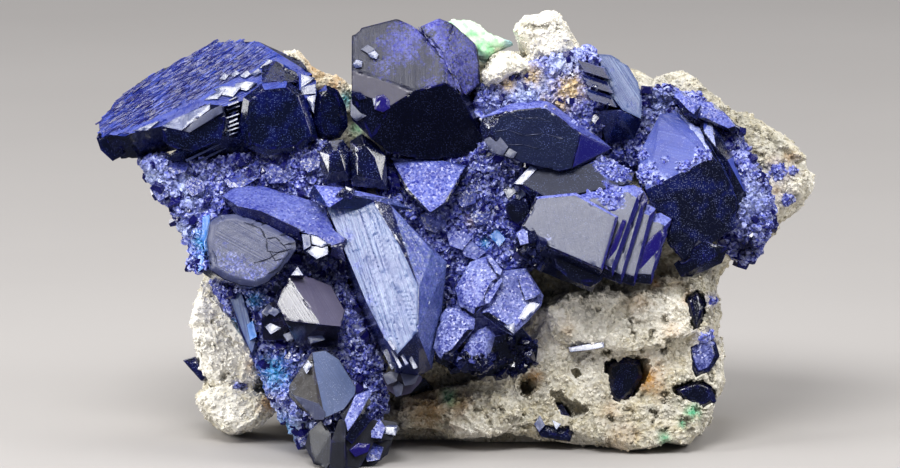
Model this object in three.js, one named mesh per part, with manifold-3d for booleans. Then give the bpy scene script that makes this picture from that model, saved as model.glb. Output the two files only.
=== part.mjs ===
// Azurite specimen: blue crystals and sugary blue crust grown on a pale, pitted matrix rock.
import * as THREE from "three";
import { ConvexHull } from "three/addons/math/ConvexHull.js";
import { ConvexGeometry } from "three/addons/geometries/ConvexGeometry.js";
import { ImprovedNoise } from "three/addons/math/ImprovedNoise.js";
import { mergeVertices } from "three/addons/utils/BufferGeometryUtils.js";
import Module from "manifold-3d";

// Driving dimensions, in millimetres and degrees
const WIDTH = 143; // from the left tip of the upper left plate to the right edge of the rock
const LEAN_BACK = 10; // how far the display face leans back from upright
const SEAM = 0.3; // clear joint between pieces that grew against each other

// The display face is laid out on a grid: columns run to the right and rows run down as the eye
// sees the face, and out is how far a corner stands towards the viewer. One step is the same
// length in all three.
const STEPS_ACROSS = 716;
const STEP = WIDTH / STEPS_ACROSS;
const MIDDLE_COLUMN = 453;
const FLOOR_ROW = 440; // the row that rests on the table where out is 0
const WALL = 16; // out of the flat rock wall that the crust grew on
const ROOT = 30; // out of the hidden end of the crystals, rooted in the crust

const lean = THREE.MathUtils.degToRad(LEAN_BACK);
const EYE = [0, -Math.cos(lean), Math.sin(lean)]; // from the specimen towards the viewer

const wasm = await Module();
wasm.setup();

// Where a grid corner is in space, in millimetres, with z up from the table.
function place([column, row, out]) {
  const across = (column - MIDDLE_COLUMN) * STEP;
  const up = (FLOOR_ROW - row) * STEP;
  const forward = out * STEP;
  return new THREE.Vector3(
    across,
    up * Math.sin(lean) + forward * EYE[1],
    up * Math.cos(lean) + forward * EYE[2],
  );
}

function middleOf(corners) {
  const sum = corners.reduce((s, c) => [s[0] + c[0], s[1] + c[1], s[2] + (c[2] ?? 0)], [0, 0, 0]);
  return sum.map((v) => v / corners.length);
}

// A flat crystal face: an outline of [column, row] points on a plane that stands out by `out` at
// the point `at`, looks up by `up` degrees and to the left by `left` degrees.
function face(outline, out, up = 0, left = 0, at = middleOf(outline)) {
  const perRow = Math.tan(THREE.MathUtils.degToRad(up));
  const perColumn = Math.tan(THREE.MathUtils.degToRad(left));
  return outline.map(([c, r]) => [c, r, out + (r - at[1]) * perRow + (c - at[0]) * perColumn]);
}

// The hidden end of a crystal: the same corners drawn back by `depth`, spread about their middle
// and drifted by [columns, rows].
function sunk(corners, depth, spread = 0.9, drift = [0, 0]) {
  const m = middleOf(corners);
  return corners.map(([c, r, o]) => [
    m[0] + (c - m[0]) * spread + drift[0],
    m[1] + (r - m[1]) * spread + drift[1],
    m[2] + (o - m[2]) * spread - depth,
  ]);
}

// A face with a narrow bevel round it and its hidden end.
function slab(front, depth, { bevel = 3, spread = 0.9, drift = [0, 0] } = {}) {
  const m = middleOf(front);
  const inner = front.map(([c, r, o]) => {
    const length = Math.hypot(c - m[0], r - m[1]);
    const keep = Math.max(0, length - 1.4 * bevel) / length;
    return [m[0] + (c - m[0]) * keep, m[1] + (r - m[1]) * keep, m[2] + (o - m[2]) * keep];
  });
  const rim = front.map(([c, r, o]) => [c, r, o - bevel]);
  return [...inner, ...rim, ...sunk(front, depth, spread, drift)];
}

function solidOf(geometry) {
  geometry.deleteAttribute("normal");
  geometry.deleteAttribute("uv");
  const merged = mergeVertices(geometry, 1e-3);
  return new wasm.Manifold(
    new wasm.Mesh({
      numProp: 3,
      vertProperties: merged.attributes.position.array,
      triVerts: new Uint32Array(merged.index.array),
    }),
  );
}

// The corners of a convex crystal, each moved out until all its faces stand off by about `swell`
// millimetres.
function swollen(points, swell) {
  const around = new Map();
  for (const f of new ConvexHull().setFromPoints(points).faces) {
    let edge = f.edge;
    do {
      const corner = edge.head().point;
      around.set(corner, [...(around.get(corner) ?? []), f.normal]);
      edge = edge.next;
    } while (edge !== f.edge);
  }
  const steepest = 0.3; // a needle corner moves no further than the swell over this
  const rounds = 40; // turns of the search for the way out that clears all the faces best
  return [...around].map(([corner, normals]) => {
    const away = normals[0].clone();
    const flattest = () => normals.reduce((a, b) => (b.dot(away) < a.dot(away) ? b : a));
    for (let i = 1; i <= rounds; i++) away.addScaledVector(flattest(), 1 / i).normalize();
    return corner.clone().addScaledVector(away, swell / Math.max(steepest, flattest().dot(away)));
  });
}

// One convex crystal from its corners. Its hidden end is cut off flat at `root`.
function crystal(corners, root = ROOT) {
  const points = corners.map(([c, r, o]) => place([c, r, Math.max(o, root)]));
  return (swell) => solidOf(new ConvexGeometry(swell ? swollen(points, swell) : points));
}

const noise = new ImprovedNoise();

// Lumps, dents and sharp ridges of a broken surface, about -1 to 1, with `size` millimetres a lump.
function rumple(p, size) {
  const at = (scale) => noise.noise(p.x * scale / size, p.y * scale / size, p.z * scale / size);
  const ridge = 0.6 - 2 * Math.abs(at(1.7));
  return at(1) + 0.6 * ridge + 0.4 * at(3.1);
}

// A lump of rock or crust: a smooth closed outline on the display face, swelling to `front` and
// back to `back`. `boxy` near 0 gives flat sides and faces, 1 gives an egg. `detail` sets how many
// small flat facets the surface has.
function lump({ outline, back, front, boxy = 0.4, rough = 1.2, size = 9, detail = 4 }) {
  const curve = new THREE.CatmullRomCurve3(
    outline.map(([c, r]) => new THREE.Vector3(c, r, 0)), true, "centripetal");
  const centre = middleOf(outline);
  return (swell) => {
    const ball = new THREE.IcosahedronGeometry(1, detail);
    const { position } = ball.attributes;
    const heart = place([centre[0], centre[1], (front + back) / 2]);
    for (let i = 0; i < position.count; i++) {
      const [x, y, z] = [position.getX(i), position.getY(i), position.getZ(i)];
      const turn = Math.atan2(y, x) / (2 * Math.PI);
      const rim = curve.getPoint((2 - turn) % 1);
      const spread = Math.hypot(x, y) ** boxy;
      const p = place([
        centre[0] + (rim.x - centre[0]) * spread,
        centre[1] + (rim.y - centre[1]) * spread,
        (front + back) / 2 + (front - back) / 2 * Math.sign(z) * Math.abs(z) ** boxy,
      ]);
      const away = p.clone().sub(heart).normalize();
      p.addScaledVector(away, rough * rumple(p, size) + swell);
      position.setXYZ(i, p.x, p.y, p.z);
    }
    return solidOf(ball);
  };
}

// All the room in front of the plane `out`, for cutting a lump off flat.
function roomBefore(out) {
  const [left, right, top, bottom, far] = [-100, 1000, -200, 700, 400];
  const corners = [out, far].flatMap((o) => [
    [left, top, o], [right, top, o], [left, bottom, o], [right, bottom, o],
  ]);
  return crystal(corners, out)(0);
}

// Crust that lies on the rock wall: the part of a lump that stands in front of it.
function crust(shape) {
  const make = lump(shape);
  return (swell) => make(swell).intersect(roomBefore(WALL + (SEAM - swell) / STEP));
}

function joined(makers, swell) {
  return makers.map((make) => make(swell)).reduce((a, b) => a.add(b));
}

// Upper left plate: a broad striated table with stepped ridges and dark blades along its front
const plateTop = face([[99, 123], [114, 103], [141, 80], [212, 42], [258, 41], [300, 60], [312, 74],
  [282, 88], [214, 110], [164, 126], [126, 135], [103, 136]], 55, 38, 4);
const upperLeftPlate = [
  crystal([...plateTop, ...sunk(plateTop, 45, 0.92, [10, 26])]),
  crystal([[96, 138, 48], [103, 119, 52], [121, 135, 66], [122, 156, 52], [112, 161, 42],
    [100, 150, 42], [140, 140, 10], [140, 120, 20]]),
  crystal([...face([[177, 134], [211, 115], [226, 117], [222, 140], [192, 153], [169, 146]], 106, -6, 6),
    ...face([[163, 128], [206, 104], [224, 106], [178, 130]], 101, 40, 4), [164, 140, 92], [229, 122, 98],
    [170, 140, 40], [222, 120, 40]]),
  crystal(slab(face([[244, 98], [262, 84], [288, 81], [303, 92], [311, 112], [318, 138], [300, 152],
    [268, 156], [247, 149], [240, 125]], 92, 4, -6), 60, { bevel: 5 })),
  crystal(slab(face([[318, 92], [326, 85], [338, 90], [346, 106], [348, 126], [340, 138], [322, 141],
    [314, 120]], 66, 2, -14), 40, { bevel: 4, drift: [-20, 0] })),
  crystal([[299, 76, 60], [316, 80, 64], [317, 96, 74], [312, 112, 76], [300, 100, 78], [280, 95, 40],
    [305, 95, 0]]),
  crystal([[262, 66, 50], [275, 60, 44], [296, 72, 48], [300, 82, 62], [262, 82, 74], [280, 75, 0]]),
  crystal([[165, 158, 84], [222, 136, 92], [250, 142, 78], [252, 160, 60], [215, 166, 62], [180, 166, 64],
    [236, 112, 84], [210, 150, 10]]),
];

// Top block: two thick tables side by side, bright above a ridge and dark below it
const topRidge = [[415, 92], [446, 84]];
const topBlock = [
  crystal([
    ...face([[352, 36], [362, 28], [397, 19], [412, 26], [446, 60], [352, 70], ...topRidge],
      96, 26, 2, [400, 55]),
    ...face([[391, 107], [352, 92]], 114.6, 8, 9, topRidge[0]),
    ...face([[388, 152], [420, 160], [450, 160], [480, 152], [483, 138], [460, 94], [372, 140]],
      114.6, -28, -14.7, topRidge[0]),
    [352, 120, 90], [356, 123, 92], [360, 40, 0], [360, 120, 0], [470, 60, 0], [470, 140, 0],
  ]),
  crystal([
    ...face([[420, 27], [440, 18], [453, 24], [446, 60]], 96, 26, 2, [400, 55]),
    ...face([[478, 46], [481, 84], [466, 96], [447, 84]], 99, 10, -38, [446, 60]),
    [430, 40, 0], [476, 60, 0], [476, 90, 0],
  ]),
];

// Ledge blade: a dark blade that overhangs the slate blade, with a deep violet right end
const ledgeFront = face([[489, 129], [505, 112], [545, 108], [580, 134], [571, 169], [558, 172], [522, 163],
  [502, 153]], 112, 2, 2);
const ledgeBlade = [
  crystal([...ledgeFront, [478, 119, 98], [482, 140, 102], [493, 155, 104], [510, 104, 96], [545, 100, 92],
    [612, 149, 92], [595, 160, 96], [500, 120, 10], [580, 120, 10], [590, 150, 20]]),
];

// Steel-blue plate with a dark underside and thin blades fanned along its left edge
const steelFront = face([[598, 54], [611, 55], [628, 65], [638, 82], [642, 103], [641, 119], [622, 110],
  [606, 90]], 66, 18, -28);
const steelPlate = [
  crystal([...steelFront, ...sunk(steelFront, 60, 0.9, [-14, 4])]),
  crystal([[598, 112, 84], [622, 111, 82], [642, 121, 58], [634, 139, 50], [606, 144, 62], [610, 105, 20]]),
];
const FINS = 3;
for (let i = 0; i < FINS; i++) {
  const fin = face([[577, 60], [603, 68], [609, 80], [584, 72]], 92 + 3 * i, 35, -5)
    .map(([c, r, o]) => [c + 3 * i, r + 14 * i, o]);
  steelPlate.push(crystal([...fin, ...sunk(fin, 44, 0.9, [6, 0])]));
}

// Right block: a thick crystal with a sugared top, a dark front and a thin blade against its side
const rightBlock = [
  crystal([[637, 180, 92], [638, 155, 76], [648, 138, 66], [660, 114, 54], [678, 112, 52], [700, 128, 58],
    [712, 157, 98], [645, 190, 107], [722, 168, 92], [736, 198, 80], [736, 228, 70], [712, 242, 80],
    [682, 262, 84], [668, 245, 88], [645, 205, 100], [650, 150, -10], [720, 150, -10], [720, 230, -10],
    [672, 245, 0]]),
  crystal([[704, 118, 48], [712, 117, 45], [733, 157, 58], [747, 196, 56], [741, 232, 50], [727, 160, 80],
    [715, 147, 84], [703, 131, 70], [725, 180, 0]]),
];

// Right shoulder: small stubby crystals above the right block
const rightShoulder = [
  [[643, 98], [655, 91], [670, 95], [679, 109], [656, 119], [645, 113]],
  [[672, 96], [680, 90], [692, 98], [701, 105], [697, 120], [684, 115]],
  [[690, 100], [712, 102], [726, 113], [741, 129], [733, 133], [716, 126], [698, 118]],
].map((outline, i) => crystal(slab(face(outline, 78 - 8 * i, 22, -6 * i), 60, { bevel: 5 })));

const rightFoot = [
  crystal([[673, 264, 78], [703, 241, 90], [728, 247, 78], [722, 263, 72], [703, 263, 90], [680, 277, 78],
    [692, 277, 72], [700, 255, 10]]),
  crystal([[720, 250, 60], [728, 243, 66], [745, 240, 58], [759, 252, 46], [752, 260, 44], [733, 263, 58],
    [720, 262, 50], [740, 250, 0]]),
];

// Stepped blade: parallel plates, each set back behind the one to its left
const PLATE_STEP = 10;
const steppedBlade = [
  [[535, 197], [575, 193], [617, 217], [601, 270], [542, 246], [521, 226]],
  [[562, 198], [632, 184], [643, 192], [630, 214], [611, 277], [562, 258]],
  [[580, 198], [641, 187], [647, 200], [641, 214], [620, 284], [582, 268]],
  [[600, 206], [645, 203], [655, 209], [651, 219], [633, 286], [602, 276]],
  [[622, 217], [660, 213], [671, 219], [668, 229], [650, 284], [622, 281]],
].map((outline, i) => {
  const front = face(outline, 148 - PLATE_STEP * i, 16, 4, [590, 230]);
  const shape = i ? { bevel: 7, drift: [0, 4] } : { bevel: 2, drift: [-8, 24] };
  return crystal(slab(front, 66, { spread: 0.96, ...shape }));
});
steppedBlade.push(crystal([[515, 240, 132], [520, 229, 136], [532, 228, 144], [541, 237, 144],
  [540, 247, 140], [522, 245, 132], [530, 238, 80]]));

const slateFront = face([[531, 166], [562, 172], [605, 158], [634, 172], [628, 192], [600, 202], [545, 206],
  [526, 188], [513, 184]], 112, 26, 2);
const slateBlade = [crystal(slab(slateFront, 90, { bevel: 6 }))];

// Centre rosette: sugary blades fanned about a dark foot
const rosette = [
  face([[470, 262], [487, 256], [503, 270], [502, 281], [485, 305], [474, 314], [460, 306], [455, 288]],
    122, 24, 4),
  face([[502, 271], [526, 268], [543, 295], [541, 305], [527, 321], [512, 335], [499, 327], [481, 313],
    [500, 290]], 120, 18, -8),
  face([[438, 318], [447, 307], [461, 308], [475, 318], [474, 328], [462, 343], [451, 355], [441, 359],
    [433, 347]], 130, 14, 8),
  face([[472, 333], [487, 325], [495, 334], [492, 347], [483, 371], [468, 369], [455, 361]], 122, 6, -16),
].map((front) => crystal(slab(front, 70, { bevel: 5, spread: 1 })));
rosette.push(crystal([[488, 338, 112], [522, 328, 112], [538, 345, 98], [536, 363, 88], [518, 375, 84],
  [488, 376, 90], [452, 370, 92], [434, 360, 98], [500, 345, 20], [460, 345, 20]]));
rosette.push(crystal([[462, 282, 104], [524, 285, 104], [526, 318, 104], [488, 344, 104], [446, 340, 106],
  [462, 300, 20], [510, 300, 20], [480, 330, 20]]));

// Centre blade: the largest crystal, with a striated bright face and a deep blue right side
const bladeFront = face([[328, 209], [346, 193], [371, 198], [400, 246], [419, 287], [418, 331], [398, 353],
  [385, 337], [368, 304], [346, 240]], 148, 20, 6);
const centreBlade = [
  crystal([...bladeFront, [391, 205, 122], [432, 250, 126], [428, 264, 138], [447, 262, 112], [441, 320, 112],
    [432, 368, 116], [420, 375, 130], [396, 372, 138], [330, 200, 30], [430, 260, 30], [430, 350, 40],
    [350, 300, 60]]),
  crystal([[309, 195, 112], [315, 185, 108], [345, 188, 118], [394, 199, 112], [413, 210, 100],
    [330, 208, 138], [350, 195, 138], [320, 205, 122], [350, 210, 20]]),
];

const centrePlateFront = face([[388, 157], [440, 160], [468, 166], [452, 190], [446, 206], [430, 216],
  [405, 190]],
  88, 30, 4);
const centrePlate = [crystal(slab(centrePlateFront, 60, { bevel: 3 }))];

// Left round blade: a thick satin table with rounded corners
const roundFront = face([[209, 240], [212, 222], [222, 215], [237, 214], [268, 224], [297, 240], [298, 249],
  [284, 270], [270, 282], [257, 287], [243, 285], [226, 279], [213, 270]], 152, 14, 3);
const leftRoundBlade = [crystal(slab(roundFront, 62, { bevel: 4, drift: [-10, 4], spread: 0.97 }))];

// Long slab: a sugared top over a dark purple edge, running down to the centre blade
const longSlab = [
  crystal([[222, 196, 92], [240, 185, 84], [263, 186, 84], [300, 199, 96], [322, 204, 106], [348, 240, 136],
    [346, 262, 138], [331, 246, 146], [300, 229, 144], [262, 211, 138], [238, 206, 128], [330, 254, 138],
    [300, 240, 138], [262, 224, 132], [240, 218, 122], [240, 200, 30], [340, 240, 50]]),
];

// Lower left prism: a bright face and a grey one that meet in a ridge, black below
const prismRidge = [307, 300];
const lowerLeftPrism = [
  crystal([
    ...face([[290, 277], [283, 290], [278, 303], [287, 320], [322, 324]], 150, 20, 8, prismRidge),
    ...face([[307, 275], [332, 285], [346, 310], [342, 326]], 150, 35, -22, prismRidge),
    [298, 346, 118], [338, 347, 116], [300, 290, 40], [335, 320, 40], [285, 335, 60],
  ]),
  crystal([[262, 320, 120], [266, 305, 122], [276, 300, 128], [290, 318, 134], [288, 340, 120],
    [264, 340, 112], [290, 325, 60]]),
  crystal([[290, 276, 140], [299, 265, 138], [306, 276, 144], [300, 290, 100]]),
];
const glintCrystal = [
  crystal([[302, 234, 143], [317, 237, 143], [330, 246, 144], [331, 253, 144], [321, 261, 148],
    [306, 253, 147], [315, 245, 60]]),
];

// Bottom prism: two broad faces that meet in an upright ridge
const bottomRidge = [318, 385];
const bottomPrism = [
  crystal([
    ...face([[313, 351], [326, 349], [340, 358], [357, 386], [356, 393], [345, 408], [327, 416]],
      158, 8, -22, bottomRidge),
    ...face([[303, 368], [290, 385], [290, 395], [302, 408], [322, 419]], 158, -2, 35, bottomRidge),
    [310, 375, 40], [345, 395, 40],
  ]),
];

// Bottom spears: dark prisms standing on the table in front of the rock
const bottomSpears = [
  crystal([[310, 430, 136], [322, 419, 142], [332, 432, 150], [333, 455, 152], [328, 466, 150],
    [314, 462, 142], [306, 444, 132], [320, 440, 60]]),
  crystal([[332, 440, 154], [340, 417, 152], [348, 419, 150], [346, 440, 156], [347, 470, 152],
    [330, 470, 150], [340, 440, 60]]),
  crystal([[341, 413, 150], [352, 400, 146], [366, 391, 138], [372, 400, 136], [362, 416, 148],
    [350, 429, 152], [355, 410, 50]]),
  crystal([[348, 430, 150], [365, 415, 144], [380, 420, 134], [374, 442, 138], [358, 470, 146],
    [345, 470, 148], [360, 430, 50]]),
  crystal([[370, 436, 134], [380, 418, 132], [397, 421, 126], [400, 428, 126], [392, 438, 132],
    [381, 441, 136], [385, 430, 60]]),
  crystal([[345, 470, 140], [372, 441, 130], [393, 439, 122], [388, 453, 124], [372, 466, 134],
    [350, 474, 140], [370, 455, 60]]),
];

const edgePlate = [
  crystal(slab(face([[227, 290], [240, 284], [248, 302], [258, 345], [254, 358], [241, 332]], 108, 6, 22), 70,
    { bevel: 3 })),
];

const baseCrystals = [
  crystal([[383, 376, 128], [395, 370, 130], [419, 370, 128], [423, 379, 124], [411, 392, 126],
    [398, 396, 126], [388, 389, 126], [405, 380, 50]]),
  crystal([[412, 392, 116], [430, 378, 118], [446, 366, 110], [448, 381, 104], [440, 398, 98],
    [420, 402, 104], [430, 385, 40]]),
];

// Inner prisms: dark upright crystals in the hollow below the top block
const innerPrisms = [
  [[320, 152], [330, 141], [343, 140], [350, 150], [352, 180], [325, 184]],
  [[350, 142], [362, 134], [376, 144], [386, 156], [388, 190], [352, 186]],
].map((outline, i) => crystal(slab(face(outline, 96, 4, -8 + 8 * i), 60, { bevel: 8, spread: 1.05 })));

// Pocket crystals: short crystals in the hollows of the rock, each its own piece
const pocketCrystals = {
  vug_crystal: [[[606, 364], [622, 357], [640, 360], [643, 376], [632, 396], [617, 407], [606, 398]],
    52, 4, 10],
  side_pocket_crystal: [[[687, 298], [697, 290], [707, 301], [702, 320], [696, 331], [690, 318]],
    60, 10, -20],
  right_edge_crystal: [[[687, 345], [700, 332], [716, 342], [720, 356], [710, 372], [697, 376],
    [689, 362]], 60, 8, -14],
  right_base_crystal: [[[675, 389], [698, 380], [712, 385], [717, 402], [704, 409], [684, 403]], 56, -4, -10],
  front_base_crystal: [[[531, 420], [540, 412], [562, 404], [575, 424], [570, 441], [541, 437]], 60, 14, 4],
  left_edge_crystal: [[[181, 361], [194, 357], [205, 372], [209, 381], [200, 382], [188, 369]], 6, 10, 12],
};

// Crust: one layer of sugary blue azurite over the rock wall between the crystals
const azuriteCrust = [
  { outline: [[140, 160], [190, 154], [260, 150], [320, 140], [352, 140], [360, 190], [345, 230], [300, 240],
    [240, 226], [212, 252], [192, 250], [184, 222], [160, 195]], front: 78, detail: 1 },
  { outline: [[208, 258], [262, 244], [330, 232], [356, 300], [376, 345], [386, 395], [366, 440], [318, 456],
    [296, 430], [274, 398], [254, 350], [226, 300]], front: 108 },
  { outline: [[346, 160], [392, 150], [440, 146], [490, 116], [530, 120], [538, 200], [530, 250], [515, 280],
    [470, 290], [446, 330], [424, 300], [410, 220]], front: 70, detail: 1 },
  { outline: [[474, 112], [478, 92], [510, 74], [545, 62], [590, 50], [604, 66], [608, 110], [600, 134],
    [560, 132], [500, 132]], front: 80, detail: 1 },
  { outline: [[580, 104], [640, 90], [690, 94], [728, 118], [744, 150], [690, 172], [640, 168], [590, 150]],
    front: 46, detail: 1 },
  { outline: [[714, 136], [745, 156], [762, 176], [771, 200], [771, 224], [764, 250], [744, 258], [722, 240],
    [712, 200]], front: 58, detail: 1 },
].map((shape) => crust({ back: 0, detail: 2, ...shape }));
azuriteCrust.push(crystal([[197, 250, 104], [204, 214, 104], [213, 214, 110], [212, 250, 132],
  [204, 272, 128], [190, 268, 108], [190, 256, 104], [205, 240, 20]]));

const malachitePatch = [
  lump({ outline: [[450, 25], [458, 23], [470, 22], [481, 29], [500, 40], [511, 43], [500, 48], [489, 57],
    [477, 56], [463, 44]], back: -20, front: 52, rough: 0.7, size: 4, detail: 2 }),
];

// Matrix: one broken rock behind and below the crystals, with ledges and knobs on its front
const rockLumps = [
  { outline: [[168, 148], [206, 92], [300, 68], [345, 92], [420, 62], [520, 48], [600, 64], [690, 92],
    [738, 135],
    [752, 200], [726, 262], [712, 310], [714, 370], [708, 415], [690, 450], [560, 470], [440, 470],
    [340, 470],
    [310, 430], [268, 392], [220, 340], [204, 250], [186, 196]], back: -165, front: 26, rough: 3.4, size: 24,
    detail: 5 },
  { outline: [[640, 100], [650, 82], [672, 78], [684, 71], [698, 80], [722, 102], [742, 119], [765, 121],
    [779, 134], [802, 150], [809, 160], [809, 190], [803, 205], [776, 222], [766, 240], [740, 250],
    [700, 240], [660, 180]], back: -110, front: 22, size: 10, detail: 3 },
  { outline: [[402, 426], [398, 404], [440, 392], [500, 372], [545, 296], [600, 284], [670, 276], [712, 272],
    [717, 330], [722, 360], [714, 402], [702, 425], [688, 446], [658, 440], [645, 452], [600, 446],
    [575, 444], [530, 434], [480, 430]], back: -60, front: 64, boxy: 0.3, rough: 1.8, size: 8, detail: 4 },
  { outline: [[545, 306], [580, 290], [640, 292], [690, 300], [700, 330], [660, 350], [600, 346], [560, 348]],
    back: 0, front: 84, boxy: 0.3, rough: 1, size: 6, detail: 1 },
  { outline: [[586, 410], [640, 404], [694, 408], [700, 424], [688, 444], [658, 440], [645, 450], [600, 444]],
    back: 0, front: 80, boxy: 0.3, rough: 1, size: 6, detail: 1 },
  { outline: [[430, 408], [470, 392], [512, 396], [520, 416], [496, 431], [450, 433]],
    back: 0, front: 76, boxy: 0.3, rough: 1, size: 6, detail: 1 },
  { outline: [[200, 280], [222, 300], [246, 340], [264, 380], [250, 396], [205, 388], [194, 345], [191, 314]],
    back: -60, front: 30, rough: 0.9, size: 6, detail: 1 },
  { outline: [[198, 392], [220, 384], [262, 392], [273, 404], [268, 418], [250, 430], [228, 437], [211, 424],
    [199, 408]], back: -50, front: 34, rough: 0.9, size: 6, detail: 2 },
  { outline: [[517, 30], [524, 18], [540, 13], [553, 12], [564, 19], [570, 34], [578, 48], [566, 60],
    [538, 70], [522, 46]], back: -50, front: 58, rough: 0.9, size: 6, detail: 2 },
  { outline: [[482, 74], [492, 60], [506, 52], [521, 56], [531, 68], [520, 74], [504, 78], [488, 88]],
    back: -20, front: 92, rough: 0.7, size: 5, detail: 1 },
  { outline: [[282, 52], [294, 50], [313, 72], [341, 79], [350, 100], [346, 118], [310, 100], [290, 80]],
    back: -50, front: 40, rough: 0.6, size: 6, detail: 1 },
  { outline: [[170, 204], [184, 208], [194, 226], [196, 246], [188, 242], [176, 222]], back: -50, front: 22,
    rough: 0.6, size: 5, detail: 1 },
];
// Hollows eaten into the front of the rock
const hollows = [
  { outline: [[518, 380], [528, 372], [537, 384], [532, 398], [518, 398]], back: 20, front: 120, detail: 0 },
  { outline: [[604, 362], [630, 352], [652, 360], [646, 384], [624, 408], [606, 400]],
    back: 34, front: 120, detail: 0 },
  { outline: [[684, 296], [698, 286], [710, 300], [704, 326], [694, 334]], back: 30, front: 130, detail: 0 },
  { outline: [[570, 370], [577, 367], [582, 374], [576, 380]], back: 52, front: 110, detail: 0 },
  { outline: [[668, 388], [690, 380], [722, 380], [724, 410], [690, 404]], back: 36, front: 130, detail: 0 },
  { outline: [[548, 390], [558, 384], [570, 400], [590, 410], [578, 422], [555, 412]],
    back: 40, front: 130, detail: 0 },
].map((shape) => lump({ ...shape, rough: 0.5, size: 4 }));

function rock(swell) {
  const [core, ...outcrops] = rockLumps.map(lump);
  const walled = core(swell).subtract(roomBefore(WALL + swell / STEP));
  return walled.add(joined(outcrops, swell)).subtract(joined(hollows, 0));
}

const AZURITE = new THREE.MeshStandardMaterial({ color: 0x232b7d, roughness: 0.18, metalness: 0 });
const SUGARED = new THREE.MeshStandardMaterial({ color: 0x4650b8, roughness: 0.55, metalness: 0 });
const ROCK = new THREE.MeshStandardMaterial({ color: 0xb5ad98, roughness: 0.9, metalness: 0 });
const MALACHITE = new THREE.MeshStandardMaterial({ color: 0xa9d9b4, roughness: 0.8, metalness: 0 });

// Every piece, from the front of the specimen to the back: a piece gives way to those before it
const pieces = [
  ["stepped_blade", steppedBlade, AZURITE],
  ["centre_blade", centreBlade, AZURITE],
  ["left_round_blade", leftRoundBlade, AZURITE],
  ["lower_left_prism", lowerLeftPrism, AZURITE],
  ["bottom_prism", bottomPrism, AZURITE],
  ["bottom_spears", bottomSpears, AZURITE],
  ["glint_crystal", glintCrystal, AZURITE],
  ["long_slab", longSlab, SUGARED],
  ["centre_rosette", rosette, SUGARED],
  ["base_crystals", baseCrystals, AZURITE],
  ["top_block", topBlock, AZURITE],
  ["ledge_blade", ledgeBlade, AZURITE],
  ["steel_plate", steelPlate, AZURITE],
  ["right_block", rightBlock, AZURITE],
  ["slate_blade", slateBlade, AZURITE],
  ["upper_left_plate", upperLeftPlate, AZURITE],
  ["centre_plate", centrePlate, SUGARED],
  ["edge_plate", edgePlate, AZURITE],
  ["right_foot_prism", rightFoot, AZURITE],
  ["right_shoulder_crystals", rightShoulder, SUGARED],
  ["inner_prisms", innerPrisms, AZURITE],
  ...Object.entries(pocketCrystals).map(([name, [outline, out, up, left]]) => [
    name, [crystal(slab(face(outline, out, up, left), 40, { bevel: 4 }), -ROOT)], AZURITE]),
  ["matrix", [rock], ROCK],
  ["azurite_crust", azuriteCrust, SUGARED],
  ["malachite_patch", malachitePatch, MALACHITE],
];

function meshOf(name, solid, material) {
  const { vertProperties, triVerts } = solid.getMesh();
  const geometry = new THREE.BufferGeometry();
  geometry.setAttribute("position", new THREE.BufferAttribute(vertProperties, 3));
  geometry.setIndex(new THREE.BufferAttribute(triVerts, 1));
  geometry.computeVertexNormals();
  const mesh = new THREE.Mesh(geometry, material.clone());
  mesh.name = name;
  return mesh;
}

function largestBody(solid) {
  return solid.decompose().reduce((a, b) => (b.volume() > a.volume() ? b : a));
}

const BELOW = 400;
const table = new THREE.BoxGeometry(BELOW, BELOW, BELOW).translate(0, 0, -BELOW / 2);
let taken = solidOf(table);
const body = new THREE.Group();
for (const [name, makers, material] of pieces) {
  const solid = largestBody(joined(makers, 0).subtract(taken));
  body.add(meshOf(name, solid, material));
  taken = taken.add(joined(makers, SEAM));
}

// The origin is on the table under the middle of the specimen
const box = new THREE.Box3().setFromObject(body);
const middle = box.getCenter(new THREE.Vector3());
body.position.set(-middle.x, -middle.y, -box.min.z);

const specimen = new THREE.Group();
specimen.add(body);
export default specimen;
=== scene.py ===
"""Azurite specimen: dark glassy blades and sugary blue crust grown on pale, pitted carbonate rock."""

import logging
import math
from collections.abc import Callable, Sequence
from dataclasses import dataclass
from enum import Enum

import bmesh
import bpy
import numpy as np
from mathutils import Vector, kdtree
from mathutils.bvhtree import BVHTree
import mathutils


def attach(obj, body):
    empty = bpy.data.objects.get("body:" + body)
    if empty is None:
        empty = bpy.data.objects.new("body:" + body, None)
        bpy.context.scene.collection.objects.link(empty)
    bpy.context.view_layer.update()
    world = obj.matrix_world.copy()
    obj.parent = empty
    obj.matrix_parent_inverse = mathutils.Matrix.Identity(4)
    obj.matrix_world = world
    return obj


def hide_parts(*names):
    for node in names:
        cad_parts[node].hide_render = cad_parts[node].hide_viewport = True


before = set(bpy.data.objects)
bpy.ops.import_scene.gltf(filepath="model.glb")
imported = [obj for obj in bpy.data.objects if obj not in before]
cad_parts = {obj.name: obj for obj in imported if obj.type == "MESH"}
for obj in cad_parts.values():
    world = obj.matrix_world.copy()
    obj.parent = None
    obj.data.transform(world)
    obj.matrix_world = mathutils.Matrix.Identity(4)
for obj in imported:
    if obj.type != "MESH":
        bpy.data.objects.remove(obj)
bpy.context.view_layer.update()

LOG = logging.getLogger("azurite_specimen")
MM = 0.001
BODY = "root"
TINY = 1e-18  # keeps a division by the length of nothing from failing
FAR = 99.0  # millimetres, further than any two points of a crystal that matter to each other
RESTING = 0.05 * MM  # the lowest that growth reaches over the floor
Array = np.ndarray
Corner = tuple[float, float]
Place = tuple[float, float, float, float]
Socket = bpy.types.NodeSocket
Value = Socket | float

# Kinds of node that the finishes use often
NOISE, CELLS, RANGE = "ShaderNodeTexNoise", "ShaderNodeTexVoronoi", "ShaderNodeMapRange"
MATH, VECTOR, MIX = "ShaderNodeMath", "ShaderNodeVectorMath", "ShaderNodeMix"


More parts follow.
